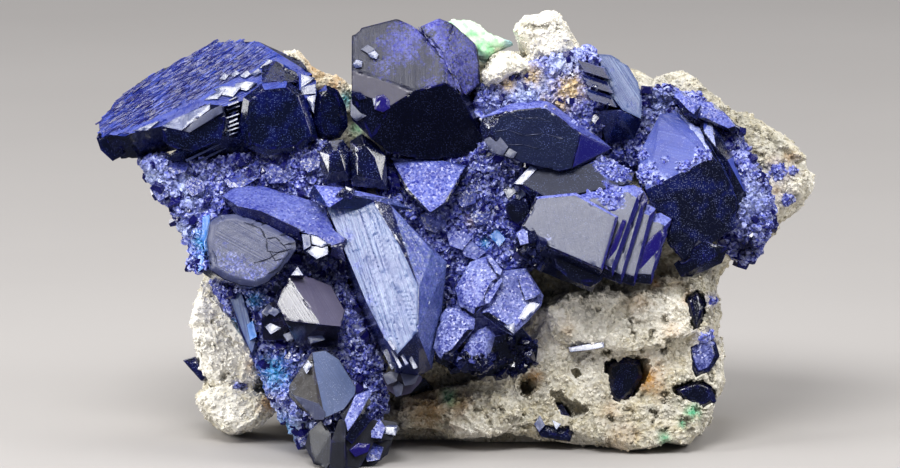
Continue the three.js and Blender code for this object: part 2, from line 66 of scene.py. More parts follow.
def linear(hex_colour: str) -> tuple[float, float, float, float]:
    """Turns an sRGB hex colour into linear light.

    Args:
        hex_colour: Six hex digits with a leading #.

    Returns:
        Linear red, green, blue and an alpha of one.
    """
    parts = [int(hex_colour[i:i + 2], 16) / 255.0 for i in (1, 3, 5)]
    low, slope = 0.04045, 12.92
    lit = [c / slope if c <= low else ((c + 0.055) / 1.055) ** 2.4 for c in parts]
    return (lit[0], lit[1], lit[2], 1.0)


def add(tree: bpy.types.NodeTree, kind: str, inputs: dict | None = None,
        **settings: object) -> bpy.types.Node:
    """Adds a node to a tree with its settings, values and links.

    Args:
        tree: The material's node tree.
        kind: The node's type name.
        inputs: Input names or numbers, each with a value or with the output socket to link.
        settings: Properties of the node itself.

    Returns:
        The new node.
    """
    made = tree.nodes.new(kind)
    for name, value in settings.items():
        setattr(made, name, value)
    for name, value in (inputs or {}).items():
        if isinstance(value, bpy.types.NodeSocket):
            tree.links.new(value, made.inputs[name])
        else:
            made.inputs[name].default_value = value
    return made


def per_mm(size: float) -> float:
    """Texture scale that gives one feature every `size` millimetres."""
    return 1.0 / (size * MM)


def bare_material(name: str) -> bpy.types.Material:
    """A new material that has no nodes yet."""
    material = bpy.data.materials.new(name)
    material.use_nodes = True
    material.node_tree.nodes.clear()
    return material


def lean_by_grain(tree: bpy.types.NodeTree, normal: Socket, grain: Socket, amount: Value) -> Socket:
    """Leans a normal in each grain its own way, so that single grains catch the light.

    Args:
        tree: The material's node tree.
        normal: The normal before it leans.
        grain: The random colour of each grain, which says the way.
        amount: How far it leans.

    Returns:
        The normal that leans.
    """
    tilt = add(tree, VECTOR, {0: grain, 1: (0.5, 0.5, 0.5)}, operation="SUBTRACT")
    tilt = add(tree, VECTOR, {0: tilt.outputs[0], "Scale": amount}, operation="SCALE")
    both = add(tree, VECTOR, {0: normal, 1: tilt.outputs[0]}, operation="ADD")
    return add(tree, VECTOR, {0: both.outputs[0]}, operation="NORMALIZE").outputs[0]


# Display grid


@dataclass(frozen=True)
class DisplayGrid:
    """Columns to the right, rows down and out towards the viewer, on the face that leans back.

    One step is the same length in all three, as in the solids that this scene dresses.
    """

    step: float = 143.0 / 716.0 * MM
    middle_column: float = 453.0
    floor_row: float = 440.0
    lean: float = math.radians(10.0)
    shift: tuple[float, float, float] = (-0.401 * MM, -5.612 * MM, 0.0)

    def axes(self) -> Array:
        """Unit vectors to the right, up the face and out of it, one a row."""
        s, c = math.sin(self.lean), math.cos(self.lean)
        return np.array([[1.0, 0.0, 0.0], [0.0, s, c], [0.0, -c, s]])

    def place(self, corners: Sequence[Sequence[float]]) -> Array:
        """Where grid corners are in space.

        Args:
            corners: Column, row and out of each corner.

        Returns:
            One point a row, in metres.
        """
        c = np.asarray(corners, float)
        flat = np.stack([c[:, 0] - self.middle_column, self.floor_row - c[:, 1], c[:, 2]], axis=1)
        return flat * self.step @ self.axes() + np.array(self.shift)

    def read(self, points: Array) -> Array:
        """Column, row and out of points in space."""
        flat = (points - np.array(self.shift)) @ self.axes().T / self.step
        return np.stack([flat[:, 0] + self.middle_column, self.floor_row - flat[:, 1], flat[:, 2]], axis=1)

    def towards(self, up: float, left: float) -> Array:
        """Unit vector that looks `up` and `left` by so many degrees from the viewer's direction."""
        u, a = math.radians(up), math.radians(left)
        return np.array([-math.sin(a) * math.cos(u), math.sin(u), math.cos(a) * math.cos(u)]) @ self.axes()

    def along(self, columns: float, rows: float, out: float = 0.0) -> Array:
        """Unit vector of a run of columns, rows and out on the grid."""
        run = np.array([columns, -rows, out]) @ self.axes()
        return run / np.linalg.norm(run)


GRID = DisplayGrid()
EYE = GRID.towards(0.0, 0.0)


# Noise


def hashed(cells: Array, seed: int) -> Array:
    """Repeatable values from 0 to 1 for whole-number cells, one a row."""
    c = cells.astype(np.int64)
    h = (c[..., 0] * 73856093) ^ (c[..., 1] * 19349663) ^ (c[..., 2] * 83492791) ^ (seed * 2654435761)
    h = (h ^ (h >> 13)) * 1274126177 & 0x7FFFFFFF
    h = (h ^ (h >> 16)) * 668265263 & 0x7FFFFFFF
    return ((h ^ (h >> 15)) & 0xFFFFFF) / float(0x1000000)


def swell(points: Array, size: float, seed: int, octaves: int = 1) -> Array:
    """Soft noise from about -1 to 1.

    Args:
        points: One point a row, in metres.
        size: Millimetres from lump to lump.
        seed: Which noise.
        octaves: Layers, each half the size and strength of the last.

    Returns:
        One value a point.
    """
    total = np.zeros(len(points))
    strength, reach = 1.0, 0.0
    corners = np.array([[i, j, k] for i in (0, 1) for j in (0, 1) for k in (0, 1)])
    for octave in range(octaves):
        p = points * per_mm(size) * 2.0 ** octave + 17.3 * octave
        cell = np.floor(p)
        f = p - cell
        f = f * f * (3.0 - 2.0 * f)
        value = np.zeros(len(points))
        for corner in corners:
            weight = np.prod(np.where(corner == 1, f, 1.0 - f), axis=1)
            value += weight * hashed(cell + corner, seed + octave)
        total += strength * (2.0 * value - 1.0)
        reach += strength
        strength *= 0.5
    return total / reach


def jitter(cells: Array, seed: int) -> Array:
    """Three repeatable values from 0 to 1 for each whole-number cell."""
    return np.stack([hashed(cells, seed + s) for s in (1, 2, 3)], axis=1)


def blocks(points: Array, size: float, seed: int) -> tuple[Array, Array, Array]:
    """Splits space into crystal-like blocks.

    Args:
        points: One point a row, in metres.
        size: Millimetres across a block.
        seed: Which blocks.

    Returns:
        Distance to the block's middle and to the next block's, both in block sizes, and a slope of
        about -1 to 1 across each block that tilts it its own way.
    """
    p = points * per_mm(size)
    base = np.floor(p)
    near = np.full(len(p), 9.0)
    second = np.full(len(p), 9.0)
    owner = base.copy()
    for i in (-1, 0, 1):
        for j in (-1, 0, 1):
            for k in (-1, 0, 1):
                cell = base + np.array([i, j, k])
                d = np.linalg.norm(p - cell - jitter(cell, seed), axis=1)
                closer = d < near
                second = np.where(closer, near, np.minimum(second, d))
                owner[closer] = cell[closer]
                near = np.where(closer, d, near)
    away = p - owner - jitter(owner, seed)
    slope = 2.0 * np.sum((jitter(owner, seed + 3) - 0.5) * away, axis=1)
    return near, second, slope


def ramp(values: Array, low: float, high: float) -> Array:
    """Smooth step from 0 at `low` to 1 at `high`."""
    t = np.clip((values - low) / (high - low), 0.0, 1.0)
    return t * t * (3.0 - 2.0 * t)


# Surfaces as arrays


@dataclass
class Surface:
    """A triangle mesh that is being worked on, with the flat face that each triangle lies on."""

    points: Array
    tris: Array
    faces: Array
    looks: Array
    ridges: Array

    def normals(self) -> Array:
        """Unit normal at each point, the mean of the triangles round it by their area."""
        a, b, c = (self.points[self.tris[:, i]] for i in range(3))
        n = np.cross(b - a, c - a)
        total = np.zeros_like(self.points)
        for i in range(3):
            np.add.at(total, self.tris[:, i], n)
        return total / np.maximum(np.linalg.norm(total, axis=1, keepdims=True), TINY)

    def to_points(self, values: Array) -> Array:
        """Mean at each point of a value that is held by triangle."""
        total = np.zeros(len(self.points))
        count = np.zeros(len(self.points))
        for i in range(3):
            np.add.at(total, self.tris[:, i], values)
            np.add.at(count, self.tris[:, i], 1.0)
        return total / np.maximum(count, 1.0)

    def ridge_distance(self) -> Array:
        """Millimetres from each point to the nearest sharp edge of the crystal."""
        if not len(self.ridges):
            return np.full(len(self.points), FAR)
        tree = kdtree.KDTree(len(self.ridges))
        for i, p in enumerate(self.ridges):
            tree.insert(p, i)
        tree.balance()
        return np.array([tree.find(p)[2] for p in self.points]) / MM

    def dice(self, shown: Callable[[Array], Array], fine: float, coarse: float, rounds: int = 12) -> None:
        """Splits the edges that are too long, until none is.

        Args:
            shown: Tells at which points the surface is in view.
            fine: Longest edge in view, in millimetres.
            coarse: Longest edge out of view.
            rounds: The most times to split.
        """
        for _ in range(rounds):
            pairs = np.sort(self.tris[:, [[0, 1], [1, 2], [2, 0]]].reshape(-1, 2), axis=1)
            keys = pairs[:, 0].astype(np.int64) * len(self.points) + pairs[:, 1]
            _, first, back = np.unique(keys, return_index=True, return_inverse=True)
            a, b = self.points[pairs[first, 0]], self.points[pairs[first, 1]]
            middles = (a + b) / 2.0
            length = np.linalg.norm(a - b, axis=1) / MM
            split = length > coarse
            unsure = (length > fine) & ~split
            split[unsure] = shown(middles[unsure])
            if not split.any():
                return
            number = np.full(len(first), -1)
            number[split] = len(self.points) + np.arange(split.sum())
            self.points = np.concatenate([self.points, middles[split]])
            self._cut(number[back.reshape(-1, 3)])

    def _cut(self, middle: Array) -> None:
        """Replaces each triangle by the ones that its split edges make.

        Args:
            middle: The point in the middle of each triangle's three edges, or -1.
        """
        count = (middle >= 0).sum(axis=1)
        turn = np.where(count == 1, np.argmax(middle >= 0, axis=1), (np.argmax(middle < 0, axis=1) + 1) % 3)
        order = (turn[:, None] + np.arange(3)) % 3
        t = np.take_along_axis(self.tris, order, axis=1)
        m = np.take_along_axis(middle, order, axis=1)
        (a, b, c), (p, q, r) = t.T, m.T
        made = {
            0: [(a, b, c)],
            1: [(a, p, c), (p, b, c)],
            2: [(p, b, q), (a, p, q), (a, q, c)],
            3: [(a, p, r), (p, b, q), (r, q, c), (p, q, r)],
        }
        tris, faces = [], []
        for splits, corners in made.items():
            those = count == splits
            for corner in corners:
                tris.append(np.stack([x[those] for x in corner], axis=1))
                faces.append(self.faces[those])
        self.tris = np.concatenate(tris)
        self.faces = np.concatenate(faces)


def settled(points: Array, tris: Array, faces: Array, chance: Array) -> tuple[Array, Array, Array]:
    """Numbers points, and the triangles that easing leaves in a chance order, by where they are.

    Args:
        points: One point a row.
        tris: Three points a triangle.
        faces: The flat face of each triangle.
        chance: Which triangles are in a chance order.

    Returns:
        The points, the triangles and their flat faces, the same in every run.
    """
    order = np.lexsort(points.T)
    points, tris = points[order], np.argsort(order)[tris]
    those = tris[chance]
    start = np.argmin(those, axis=1)
    those = np.take_along_axis(those, (start[:, None] + np.arange(3)) % 3, axis=1)
    by = np.lexsort(those.T)
    tris[chance], faces[chance] = those[by], faces[chance][by]
    return points, tris, faces


def surface_of(bm: bmesh.types.BMesh, bevel: float, flat: float = 1.5, sharp: float = 14.0) -> Surface:
    """Reads a mesh into arrays, with its flat faces joined and its sharp edges eased.

    Args:
        bm: The mesh, which is used up.
        bevel: Width of the eased edge in millimetres, or 0 for none.
        flat: Degrees under which two faces count as one.
        sharp: Degrees over which an edge is a crystal's edge.

    Returns:
        The surface.
    """
    bmesh.ops.remove_doubles(bm, verts=bm.verts, dist=1e-6)
    if bevel:
        bmesh.ops.dissolve_limit(bm, angle_limit=math.radians(flat), verts=bm.verts, edges=bm.edges)
    number = bm.faces.layers.int.new("flat_face")
    edges = [e for e in bm.edges if e.is_manifold and e.calc_face_angle(0.0) > math.radians(sharp)]
    ridges = []
    for e in edges:
        steps = max(2, int(e.calc_length() / (0.3 * MM)))
        a, b = np.array(e.verts[0].co), np.array(e.verts[1].co)
        ridges.append(a + (b - a) * np.linspace(0.0, 1.0, steps)[:, None])
    eased = set()
    if bevel:
        made = bmesh.ops.bevel(bm, geom=edges, offset=bevel * MM, offset_type="OFFSET", segments=1,
                               profile=0.5, affect="EDGES", clamp_overlap=True)
        eased = set(made["faces"])
    looks, is_eased = [], []
    for i, face in enumerate(bm.faces):
        face.normal_update()
        face[number] = i
        looks.append(face.normal.copy())
        is_eased.append(face in eased)
    bmesh.ops.triangulate(bm, faces=bm.faces)
    bm.verts.index_update()
    points = np.array([v.co for v in bm.verts])
    tris = np.array([[v.index for v in f.verts] for f in bm.faces])
    faces = np.array([f[number] for f in bm.faces])
    bm.free()
    if bevel:
        points, tris, faces = settled(points, tris, faces, np.array(is_eased)[faces])
    edge_points = np.concatenate(ridges) if ridges else np.zeros((0, 3))
    return Surface(points, tris, faces, np.array(looks), edge_points)


def cad_mesh(node: str) -> bmesh.types.BMesh:
    """A working copy of a CAD node's mesh."""
    bm = bmesh.new()
    bm.from_mesh(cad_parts[node].data)
    return bm


def hull_mesh(hulls: Sequence[Array]) -> bmesh.types.BMesh:
    """One mesh of several convex crystals, each given by its corners in space."""
    bm = bmesh.new()
    for corners in hulls:
        made = [bm.verts.new(c) for c in corners]
        result = bmesh.ops.convex_hull(bm, input=made)
        loose = [g for g in result["geom_interior"] if isinstance(g, bmesh.types.BMVert)]
        bmesh.ops.delete(bm, geom=loose, context="VERTS")
    return bm


def piece_of(name: str, surface: Surface, material: bpy.types.Material, layers: dict[str, Array],
             soft_angle: float | None = 24.0) -> bpy.types.Object:
    """Makes a Blender piece from a worked surface.

    Args:
        name: The piece's name.
        surface: Its points and triangles.
        material: Its finish.
        layers: Named values held by point or by triangle, which the finish reads.
        soft_angle: Degrees under which neighbours shade as one, or None for flat facets.

    Returns:
        The piece, riding on the specimen's body.
    """
    mesh = bpy.data.meshes.new(name)
    count = len(surface.tris)
    mesh.vertices.add(len(surface.points))
    mesh.vertices.foreach_set("co", surface.points.astype(np.float32).ravel())
    mesh.loops.add(3 * count)
    mesh.loops.foreach_set("vertex_index", surface.tris.astype(np.int32).ravel())
    mesh.polygons.add(count)
    mesh.polygons.foreach_set("loop_start", np.arange(0, 3 * count, 3, dtype=np.int32))
    mesh.polygons.foreach_set("use_smooth", np.full(count, soft_angle is not None))
    mesh.update(calc_edges=True)
    for layer, values in layers.items():
        domain = "POINT" if len(values) == len(surface.points) else "FACE"
        mesh.attributes.new(layer, "FLOAT", domain).data.foreach_set("value", values.astype(np.float32))
    if soft_angle is not None:
        mesh.set_sharp_from_angle(angle=math.radians(soft_angle))
    mesh.materials.append(material)
    piece = bpy.data.objects.new(name, mesh)
    bpy.context.scene.collection.objects.link(piece)
    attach(piece, BODY)
    LOG.info("%s: %d triangles", name, count)
    return piece


class Sight:
    """What the viewer sees first along each line of sight, found on the CAD solids."""

    def __init__(self) -> None:
        """Joins all the CAD nodes into one tree for ray casts."""
        points, tris, start = [], [], 0
        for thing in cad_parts.values():
            mesh = thing.data
            mesh.calc_loop_triangles()
            points += [v.co.copy() for v in mesh.vertices]
            tris += [[start + i for i in t.vertices] for t in mesh.loop_triangles]
            start += len(mesh.vertices)
        self.tree = BVHTree.FromPolygons(points, tris)
        self.eye = Vector(EYE)

    def out_at(self, column: float, row: float) -> float:
        """How far out the specimen stands at a place on the display grid, or 0 beside it."""
        start = Vector(GRID.place([[column, row, 400.0]])[0])
        hit = self.tree.ray_cast(start, -self.eye)[0]
        return float(GRID.read(np.array([hit]))[0, 2]) if hit is not None else 0.0

    def open_from(self, points: Array, lift: float = 0.6) -> Array:
        """Whether nothing stands before each point as the viewer sees it.

        Args:
            points: One point a row.
            lift: Millimetres in front of the point where looking starts.

        Returns:
            True where the point is in view.
        """
        step = self.eye * lift * MM
        return np.array([self.tree.ray_cast(Vector(p) + step, self.eye)[0] is None for p in points])


# Finishes


@dataclass(frozen=True)
class AzuriteFinish:
    """Azurite crystal grown in a cavity: glassy where flat, satin where etched, sugary where overgrown.

    Copper carbonate of this depth is nearly opaque, so the eye gets a black-blue body with sharp
    white reflections, violet-blue where it thins out at edges, and a matte bright blue where a
    second growth of tiny crystals dusts it. The satin colours are partly the etched finish and partly
    painted sheen, and the light speck dots are painted highlights.
    """

    name: str
    deep: str = "#04061A"
    vivid: str = "#141C68"
    edge: str = "#1E188C"
    rim: str = "#1E188C"
    # light dots that stand for glints off tiny pits: painted highlights
    speck: str = "#7F8DC4"
    # lighter and greyer than the body: partly the etched finish, partly painted sheen of the lamps
    satin: str = "#2C3260"
    sugar_dark: str = "#2A3290"
    sugar_light: str = "#7781CE"
    glass_roughness: float = 0.12
    satin_roughness: float = 0.36
    sugar_roughness: float = 0.34
    stria_width: float = 0.22  # millimetres, drawn about twice as wide as the real ones so they show
    grain: float = 0.34  # millimetres across a sugar crystal, drawn coarser than the finest so it shows
    pit: float = 0.27  # millimetres from one pit to the next, drawn coarser than the real ones
    cloudy: float = 0.6  # how far haze takes an etched face towards the vivid colour
    glint_speckle: float = 0.55  # how bright the painted highlight dots are
    pitting: float = 0.1  # how deep they are
    shine: float = 0.5
    ior: float = 1.76

    def make(self) -> bpy.types.Material:
        """Builds the material, which reads satin, sugar, stria, thin, across and edge from the mesh."""
        material = bare_material(self.name)
        t = material.node_tree
        at = add(t, "ShaderNodeTexCoord").outputs["Object"]
        read = {k: add(t, "ShaderNodeAttribute", attribute_name=k).outputs["Fac"]
                for k in ("satin", "sugar", "stria", "thin", "across", "edge")}
        cloud = add(t, NOISE, {"Vector": at, "Scale": per_mm(4.0), "Detail": 4.0}).outputs["Fac"]
        patch = add(t, NOISE, {"Vector": at, "Scale": per_mm(1.6), "Detail": 3.0}).outputs["Fac"]
        body = add(t, RANGE, {"Value": cloud, "From Min": 0.45, "From Max": 0.8, "To Max": 0.45})
        colour = add(t, MIX, {"Factor": body.outputs[0], 6: linear(self.deep), 7: linear(self.vivid)},
                     data_type="RGBA")
        worn = add(t, RANGE, {"Value": patch, "From Min": 0.45, "From Max": 0.65, "To Max": 0.25})
        worn = add(t, MATH, {0: read["edge"], 1: worn.outputs[0]}, operation="MULTIPLY")
        colour = add(t, MIX, {"Factor": worn.outputs[0], 6: colour.outputs[2], 7: linear(self.rim)},
                     data_type="RGBA")
        colour = add(t, MIX, {"Factor": read["thin"], 6: colour.outputs[2], 7: linear(self.edge)},
                     data_type="RGBA")
        # Striae: fine grooves side by side, followed by the coordinate across them
        groove = add(t, MATH, {0: read["across"], 1: 1.0 / self.stria_width}, operation="MULTIPLY")
        groove = add(t, NOISE, {"W": groove.outputs[0], "Scale": 1.0, "Detail": 3.0, "Roughness": 0.7},
                     noise_dimensions="1D").outputs["Fac"]
        lined = add(t, RANGE, {"Value": groove, "From Min": 0.3, "From Max": 0.7})
        satin = add(t, MIX, {"Factor": lined.outputs[0], 6: linear(self.vivid), 7: linear(self.satin)},
                    data_type="RGBA")
        haze = add(t, NOISE, {"Vector": at, "Scale": per_mm(3.0), "Detail": 5.0, "Roughness": 0.65})
        haze = add(t, RANGE, {"Value": haze.outputs["Fac"], "From Min": 0.42, "From Max": 0.66,
                              "To Max": self.cloudy})
        satin = add(t, MIX, {"Factor": haze.outputs[0], 6: satin.outputs[2], 7: linear(self.vivid)},
                    data_type="RGBA")
        colour = add(t, MIX, {"Factor": read["satin"], 6: colour.outputs[2], 7: satin.outputs[2]},
                     data_type="RGBA")
        # Fine pits and hillocks, bumped into the surface, with painted highlights: light dots mixed into the
        # colour where they would catch the light, here and there
        speck = add(t, CELLS, {"Vector": at, "Scale": per_mm(self.pit)}, feature="F1")
        dot = add(t, RANGE, {"Value": speck.outputs["Distance"], "From Min": 0.42, "From Max": 0.16})
        some = add(t, "ShaderNodeSeparateColor", {"Color": speck.outputs["Color"]})
        some = add(t, RANGE, {"Value": some.outputs[0], "From Min": 0.3, "From Max": 1.0,
                              "To Max": self.glint_speckle})
        drift = add(t, RANGE, {"Value": cloud, "From Min": 0.35, "From Max": 0.62, "To Min": 0.15})
        glint_dots = add(t, MATH, {0: dot.outputs[0], 1: some.outputs[0]}, operation="MULTIPLY")
        glint_dots = add(t, MATH, {0: glint_dots.outputs[0], 1: drift.outputs[0]}, operation="MULTIPLY")
        colour = add(t, MIX, {"Factor": glint_dots.outputs[0], 6: colour.outputs[2], 7: linear(self.speck)},
                     data_type="RGBA")
        # Sugar: a patchy dusting of tiny crystals, each with its own tone and tilt
        crumb = add(t, CELLS, {"Vector": at, "Scale": per_mm(self.grain)}, feature="F1")
        tone = add(t, "ShaderNodeSeparateColor", {"Color": crumb.outputs["Color"]})
        shade = add(t, MATH, {0: tone.outputs[0], 1: 0.6, 2: cloud}, operation="MULTIPLY_ADD")
        shade = add(t, RANGE, {"Value": shade.outputs[0], "From Min": 0.5, "From Max": 1.1})
        sugar = add(t, MIX, {"Factor": shade.outputs[0], 6: linear(self.sugar_dark),
                             7: linear(self.sugar_light)}, data_type="RGBA")
        cover = add(t, MATH, {0: read["sugar"], 1: 2.2, 2: -1.1}, operation="MULTIPLY_ADD")
        grit = add(t, MIX, {"Factor": 0.55, 2: patch, 3: tone.outputs[1]})
        cover = add(t, MATH, {0: grit.outputs[0], 1: cover.outputs[0]}, operation="ADD")
        cover = add(t, RANGE, {"Value": cover.outputs[0], "From Min": 0.2, "From Max": 0.9}).outputs[0]
        colour = add(t, MIX, {"Factor": cover, 6: colour.outputs[2], 7: sugar.outputs[2]}, data_type="RGBA")
        rough = add(t, RANGE, {"Value": read["satin"], "To Min": self.glass_roughness,
                               "To Max": self.satin_roughness})
        rough = add(t, MIX, {"Factor": cover, 2: rough.outputs[0], 3: self.sugar_roughness})
        wave = add(t, MATH, {0: groove, 1: read["stria"]}, operation="MULTIPLY")
        pits = add(t, MATH, {0: dot.outputs[0], 1: self.pitting, 2: wave.outputs[0]},
                   operation="MULTIPLY_ADD")
        bump = add(t, "ShaderNodeBump", {"Height": pits.outputs[0], "Distance": 0.12 * MM, "Strength": 0.8})
        lean = add(t, MATH, {0: cover, 1: 0.8, 2: 0.4 * self.pitting}, operation="MULTIPLY_ADD")
        way = lean_by_grain(t, bump.outputs[0], crumb.outputs["Color"], lean.outputs[0])
        shader = add(t, "ShaderNodeBsdfPrincipled", {
            "Base Color": colour.outputs[2], "Roughness": rough.outputs[0], "Normal": way,
            "IOR": self.ior, "Specular IOR Level": self.shine})
        add(t, "ShaderNodeOutputMaterial", {"Surface": shader.outputs[0]})
        return material


@dataclass(frozen=True)
class DruseFinish:
    """Azurite druse: a crust of tiny crystals that grew side by side.

    Each crystal is small and thin enough to let light through, so the eye gets a bright violet blue
    that sparkles where single faces catch the light and turns dark between them, where the shade is painted
    into the colour.
    """

    name: str
    dark: str = "#171C7A"
    middle: str = "#5660CA"
    light: str = "#B8C0F4"
    # painted shade for the grooves, the low ground and the dark spots
    gap_shade: str = "#0C0F48"
    pale: str = "#B9C6EC"
    turquoise: str = "#3C9FD2"
    ochre: str = "#DAC298"
    grain: float = 0.45  # millimetres across a crystal
    roughness: float = 0.3
    tilt: float = 1.2  # how far single crystals lean
    ior: float = 1.76

    def make(self) -> bpy.types.Material:
        """Builds the material, which reads hollow, the painted shade between crystals, and the stains from
        the mesh.
        """
        material = bare_material(self.name)
        t = material.node_tree
        at = add(t, "ShaderNodeTexCoord").outputs["Object"]
        hollow = add(t, "ShaderNodeAttribute", attribute_name="hollow").outputs["Fac"]
        crumb = add(t, CELLS, {"Vector": at, "Scale": per_mm(self.grain)}, feature="F1")
        tone = add(t, "ShaderNodeSeparateColor", {"Color": crumb.outputs["Color"]})
        cloud = add(t, NOISE, {"Vector": at, "Scale": per_mm(5.0), "Detail": 4.0})
        shade = add(t, MATH, {0: tone.outputs[1], 1: cloud.outputs["Fac"]}, operation="ADD")
        shade = add(t, RANGE, {"Value": shade.outputs[0], "From Min": 0.58, "From Max": 1.3})
        tones = add(t, "ShaderNodeValToRGB", {"Fac": shade.outputs[0]})
        tones.color_ramp.elements[0].color = linear(self.dark)
        tones.color_ramp.elements[1].color = linear(self.light)
        tones.color_ramp.elements.new(0.5).color = linear(self.middle)
        # Painted shade: the hollows take the gap colour
        colour = add(t, MIX, {"Factor": hollow, 6: tones.outputs[0], 7: linear(self.gap_shade)}, data_type="RGBA")
        for stain, tint in (("pale", self.pale), ("turquoise", self.turquoise), ("ochre", self.ochre),
                            ("dark", self.gap_shade)):
            amount = add(t, "ShaderNodeAttribute", attribute_name=stain).outputs["Fac"]
            amount = add(t, MATH, {0: amount, 1: tone.outputs[0], 2: amount}, operation="MULTIPLY_ADD",
                         use_clamp=True)
            colour = add(t, MIX, {"Factor": amount.outputs[0], 6: colour.outputs[2], 7: linear(tint)},
                         data_type="RGBA")
        flat = add(t, "ShaderNodeNewGeometry").outputs["Normal"]
        way = lean_by_grain(t, flat, crumb.outputs["Color"], self.tilt)
        rough = add(t, RANGE, {"Value": tone.outputs[2], "To Min": self.roughness - 0.15,
                               "To Max": self.roughness + 0.2})
        shader = add(t, "ShaderNodeBsdfPrincipled", {
            "Base Color": colour.outputs[2], "Roughness": rough.outputs[0], "Normal": way, "IOR": self.ior})
        add(t, "ShaderNodeOutputMaterial", {"Surface": shader.outputs[0]})
        return material


@dataclass(frozen=True)
class CarbonateFinish:
    """Vuggy carbonate rock, broken: pale granular stone stained by iron and copper.

    Small grains with dull broken faces give the eye a crumbly cream and grey surface, with shade painted
    darker into the pits and low ground, rusty ochre along old water paths and green and turquoise specks of
    copper minerals.
    """

    name: str
    pale: str = "#FDF9EE"
    grey: str = "#BFBBAC"
    tan: str = "#CEC19B"
    # painted shade for the pits and the low ground, and the colour of the dark spots
    pit: str = "#4F4938"
    speck: str = "#7C7666"
    ochre: str = "#B5812C"
    green: str = "#4DB483"
    turquoise: str = "#58BFD0"
    blue: str = "#3A45B4"
    grain: float = 0.52  # millimetres across a grain
    roughness: float = 0.58
    tilt: float = 0.8  # how far single grains lean
    ior: float = 1.6

    def make(self) -> bpy.types.Material:
        """Builds the material, which reads pit, which is mostly painted shade, pale and the stains from the
        mesh.
        """
        material = bare_material(self.name)
        t = material.node_tree
        at = add(t, "ShaderNodeTexCoord").outputs["Object"]
        read = {k: add(t, "ShaderNodeAttribute", attribute_name=k).outputs["Fac"]
                for k in ("pit", "pale", "ochre", "green", "turquoise", "blue")}
        crumb = add(t, CELLS, {"Vector": at, "Scale": per_mm(self.grain)}, feature="F1")
        tone = add(t, "ShaderNodeSeparateColor", {"Color": crumb.outputs["Color"]})
        cloud = add(t, NOISE, {"Vector": at, "Scale": per_mm(3.5), "Detail": 6.0, "Roughness": 0.65})
        drift = add(t, RANGE, {"Value": cloud.outputs["Fac"], "From Min": 0.35, "From Max": 0.65})
        stone = add(t, MIX, {"Factor": drift.outputs[0], 6: linear(self.grey), 7: linear(self.tan)},
                    data_type="RGBA")
        whiter = add(t, MATH, {0: tone.outputs[0], 1: 0.55, 2: read["pale"]}, operation="MULTIPLY_ADD",
                     use_clamp=True)
        stone = add(t, MIX, {"Factor": whiter.outputs[0], 6: stone.outputs[2], 7: linear(self.pale)},
                    data_type="RGBA")
        clean = add(t, RANGE, {"Value": read["pale"], "To Min": 0.55, "To Max": 0.15})
        dark = add(t, RANGE, {"Value": tone.outputs[2], "From Min": 0.6, "From Max": 1.0,
                              "To Max": clean.outputs[0]})
        stone = add(t, MIX, {"Factor": dark.outputs[0], 6: stone.outputs[2], 7: linear(self.speck)},
                    data_type="RGBA")
        patchy = add(t, MATH, {0: tone.outputs[1], 1: 0.5, 2: 0.7}, operation="MULTIPLY_ADD")
        # The pit layer is painted shade in the pits and low ground, and carries the dark spots; the rest are
        # stains
        for stain, tint in (("ochre", self.ochre), ("green", self.green), ("turquoise", self.turquoise),
                            ("blue", self.blue), ("pit", self.pit)):
            amount = add(t, MATH, {0: read[stain], 1: patchy.outputs[0]}, operation="MULTIPLY",
                         use_clamp=True)
            stone = add(t, MIX, {"Factor": amount.outputs[0], 6: stone.outputs[2], 7: linear(tint)},
                        data_type="RGBA")
        fine = add(t, NOISE, {"Vector": at, "Scale": per_mm(0.35), "Detail": 3.0})
        bump = add(t, "ShaderNodeBump", {"Height": fine.outputs["Fac"], "Distance": 0.18 * MM,
                                         "Strength": 0.7})
        way = lean_by_grain(t, bump.outputs[0], crumb.outputs["Color"], self.tilt)
        shader = add(t, "ShaderNodeBsdfPrincipled", {
            "Base Color": stone.outputs[2], "Roughness": self.roughness, "Normal": way, "IOR": self.ior})
        add(t, "ShaderNodeOutputMaterial", {"Surface": shader.outputs[0]})
        return material


@dataclass(frozen=True)
class MalachiteFinish:
    """Malachite grown as a soft powdery felt: mint green with white tips, turning bluer and a little darker
    low down and on the right.
    """

    name: str
    white: str = "#EEF6E0"
    mint: str = "#96DAA0"
    deep: str = "#8FB4CC"
    ior: float = 1.7
    roughness: float = 0.8

    def make(self) -> bpy.types.Material:
        """Builds the material, which reads hollow from the mesh."""
        material = bare_material(self.name)
        t = material.node_tree
        at = add(t, "ShaderNodeTexCoord").outputs["Object"]
        hollow = add(t, "ShaderNodeAttribute", attribute_name="hollow").outputs["Fac"]
        cloud = add(t, NOISE, {"Vector": at, "Scale": per_mm(1.8), "Detail": 5.0})
        tones = add(t, "ShaderNodeValToRGB", {"Fac": cloud.outputs["Fac"]})
        for stop, place, tint in zip(tones.color_ramp.elements, (0.36, 0.66), (self.mint, self.white)):
            stop.position = place
            stop.color = linear(tint)
        colour = add(t, MIX, {"Factor": hollow, 6: tones.outputs[0], 7: linear(self.deep)},
                     data_type="RGBA")
        felt = add(t, NOISE, {"Vector": at, "Scale": per_mm(0.4), "Detail": 3.0})
        bump = add(t, "ShaderNodeBump", {"Height": felt.outputs["Fac"], "Distance": 0.15 * MM,
                                         "Strength": 0.8})
        shader = add(t, "ShaderNodeBsdfPrincipled", {
            "Base Color": colour.outputs[2], "Roughness": self.roughness, "Normal": bump.outputs[0],
            "IOR": self.ior})
        add(t, "ShaderNodeOutputMaterial", {"Surface": shader.outputs[0]})
        return material


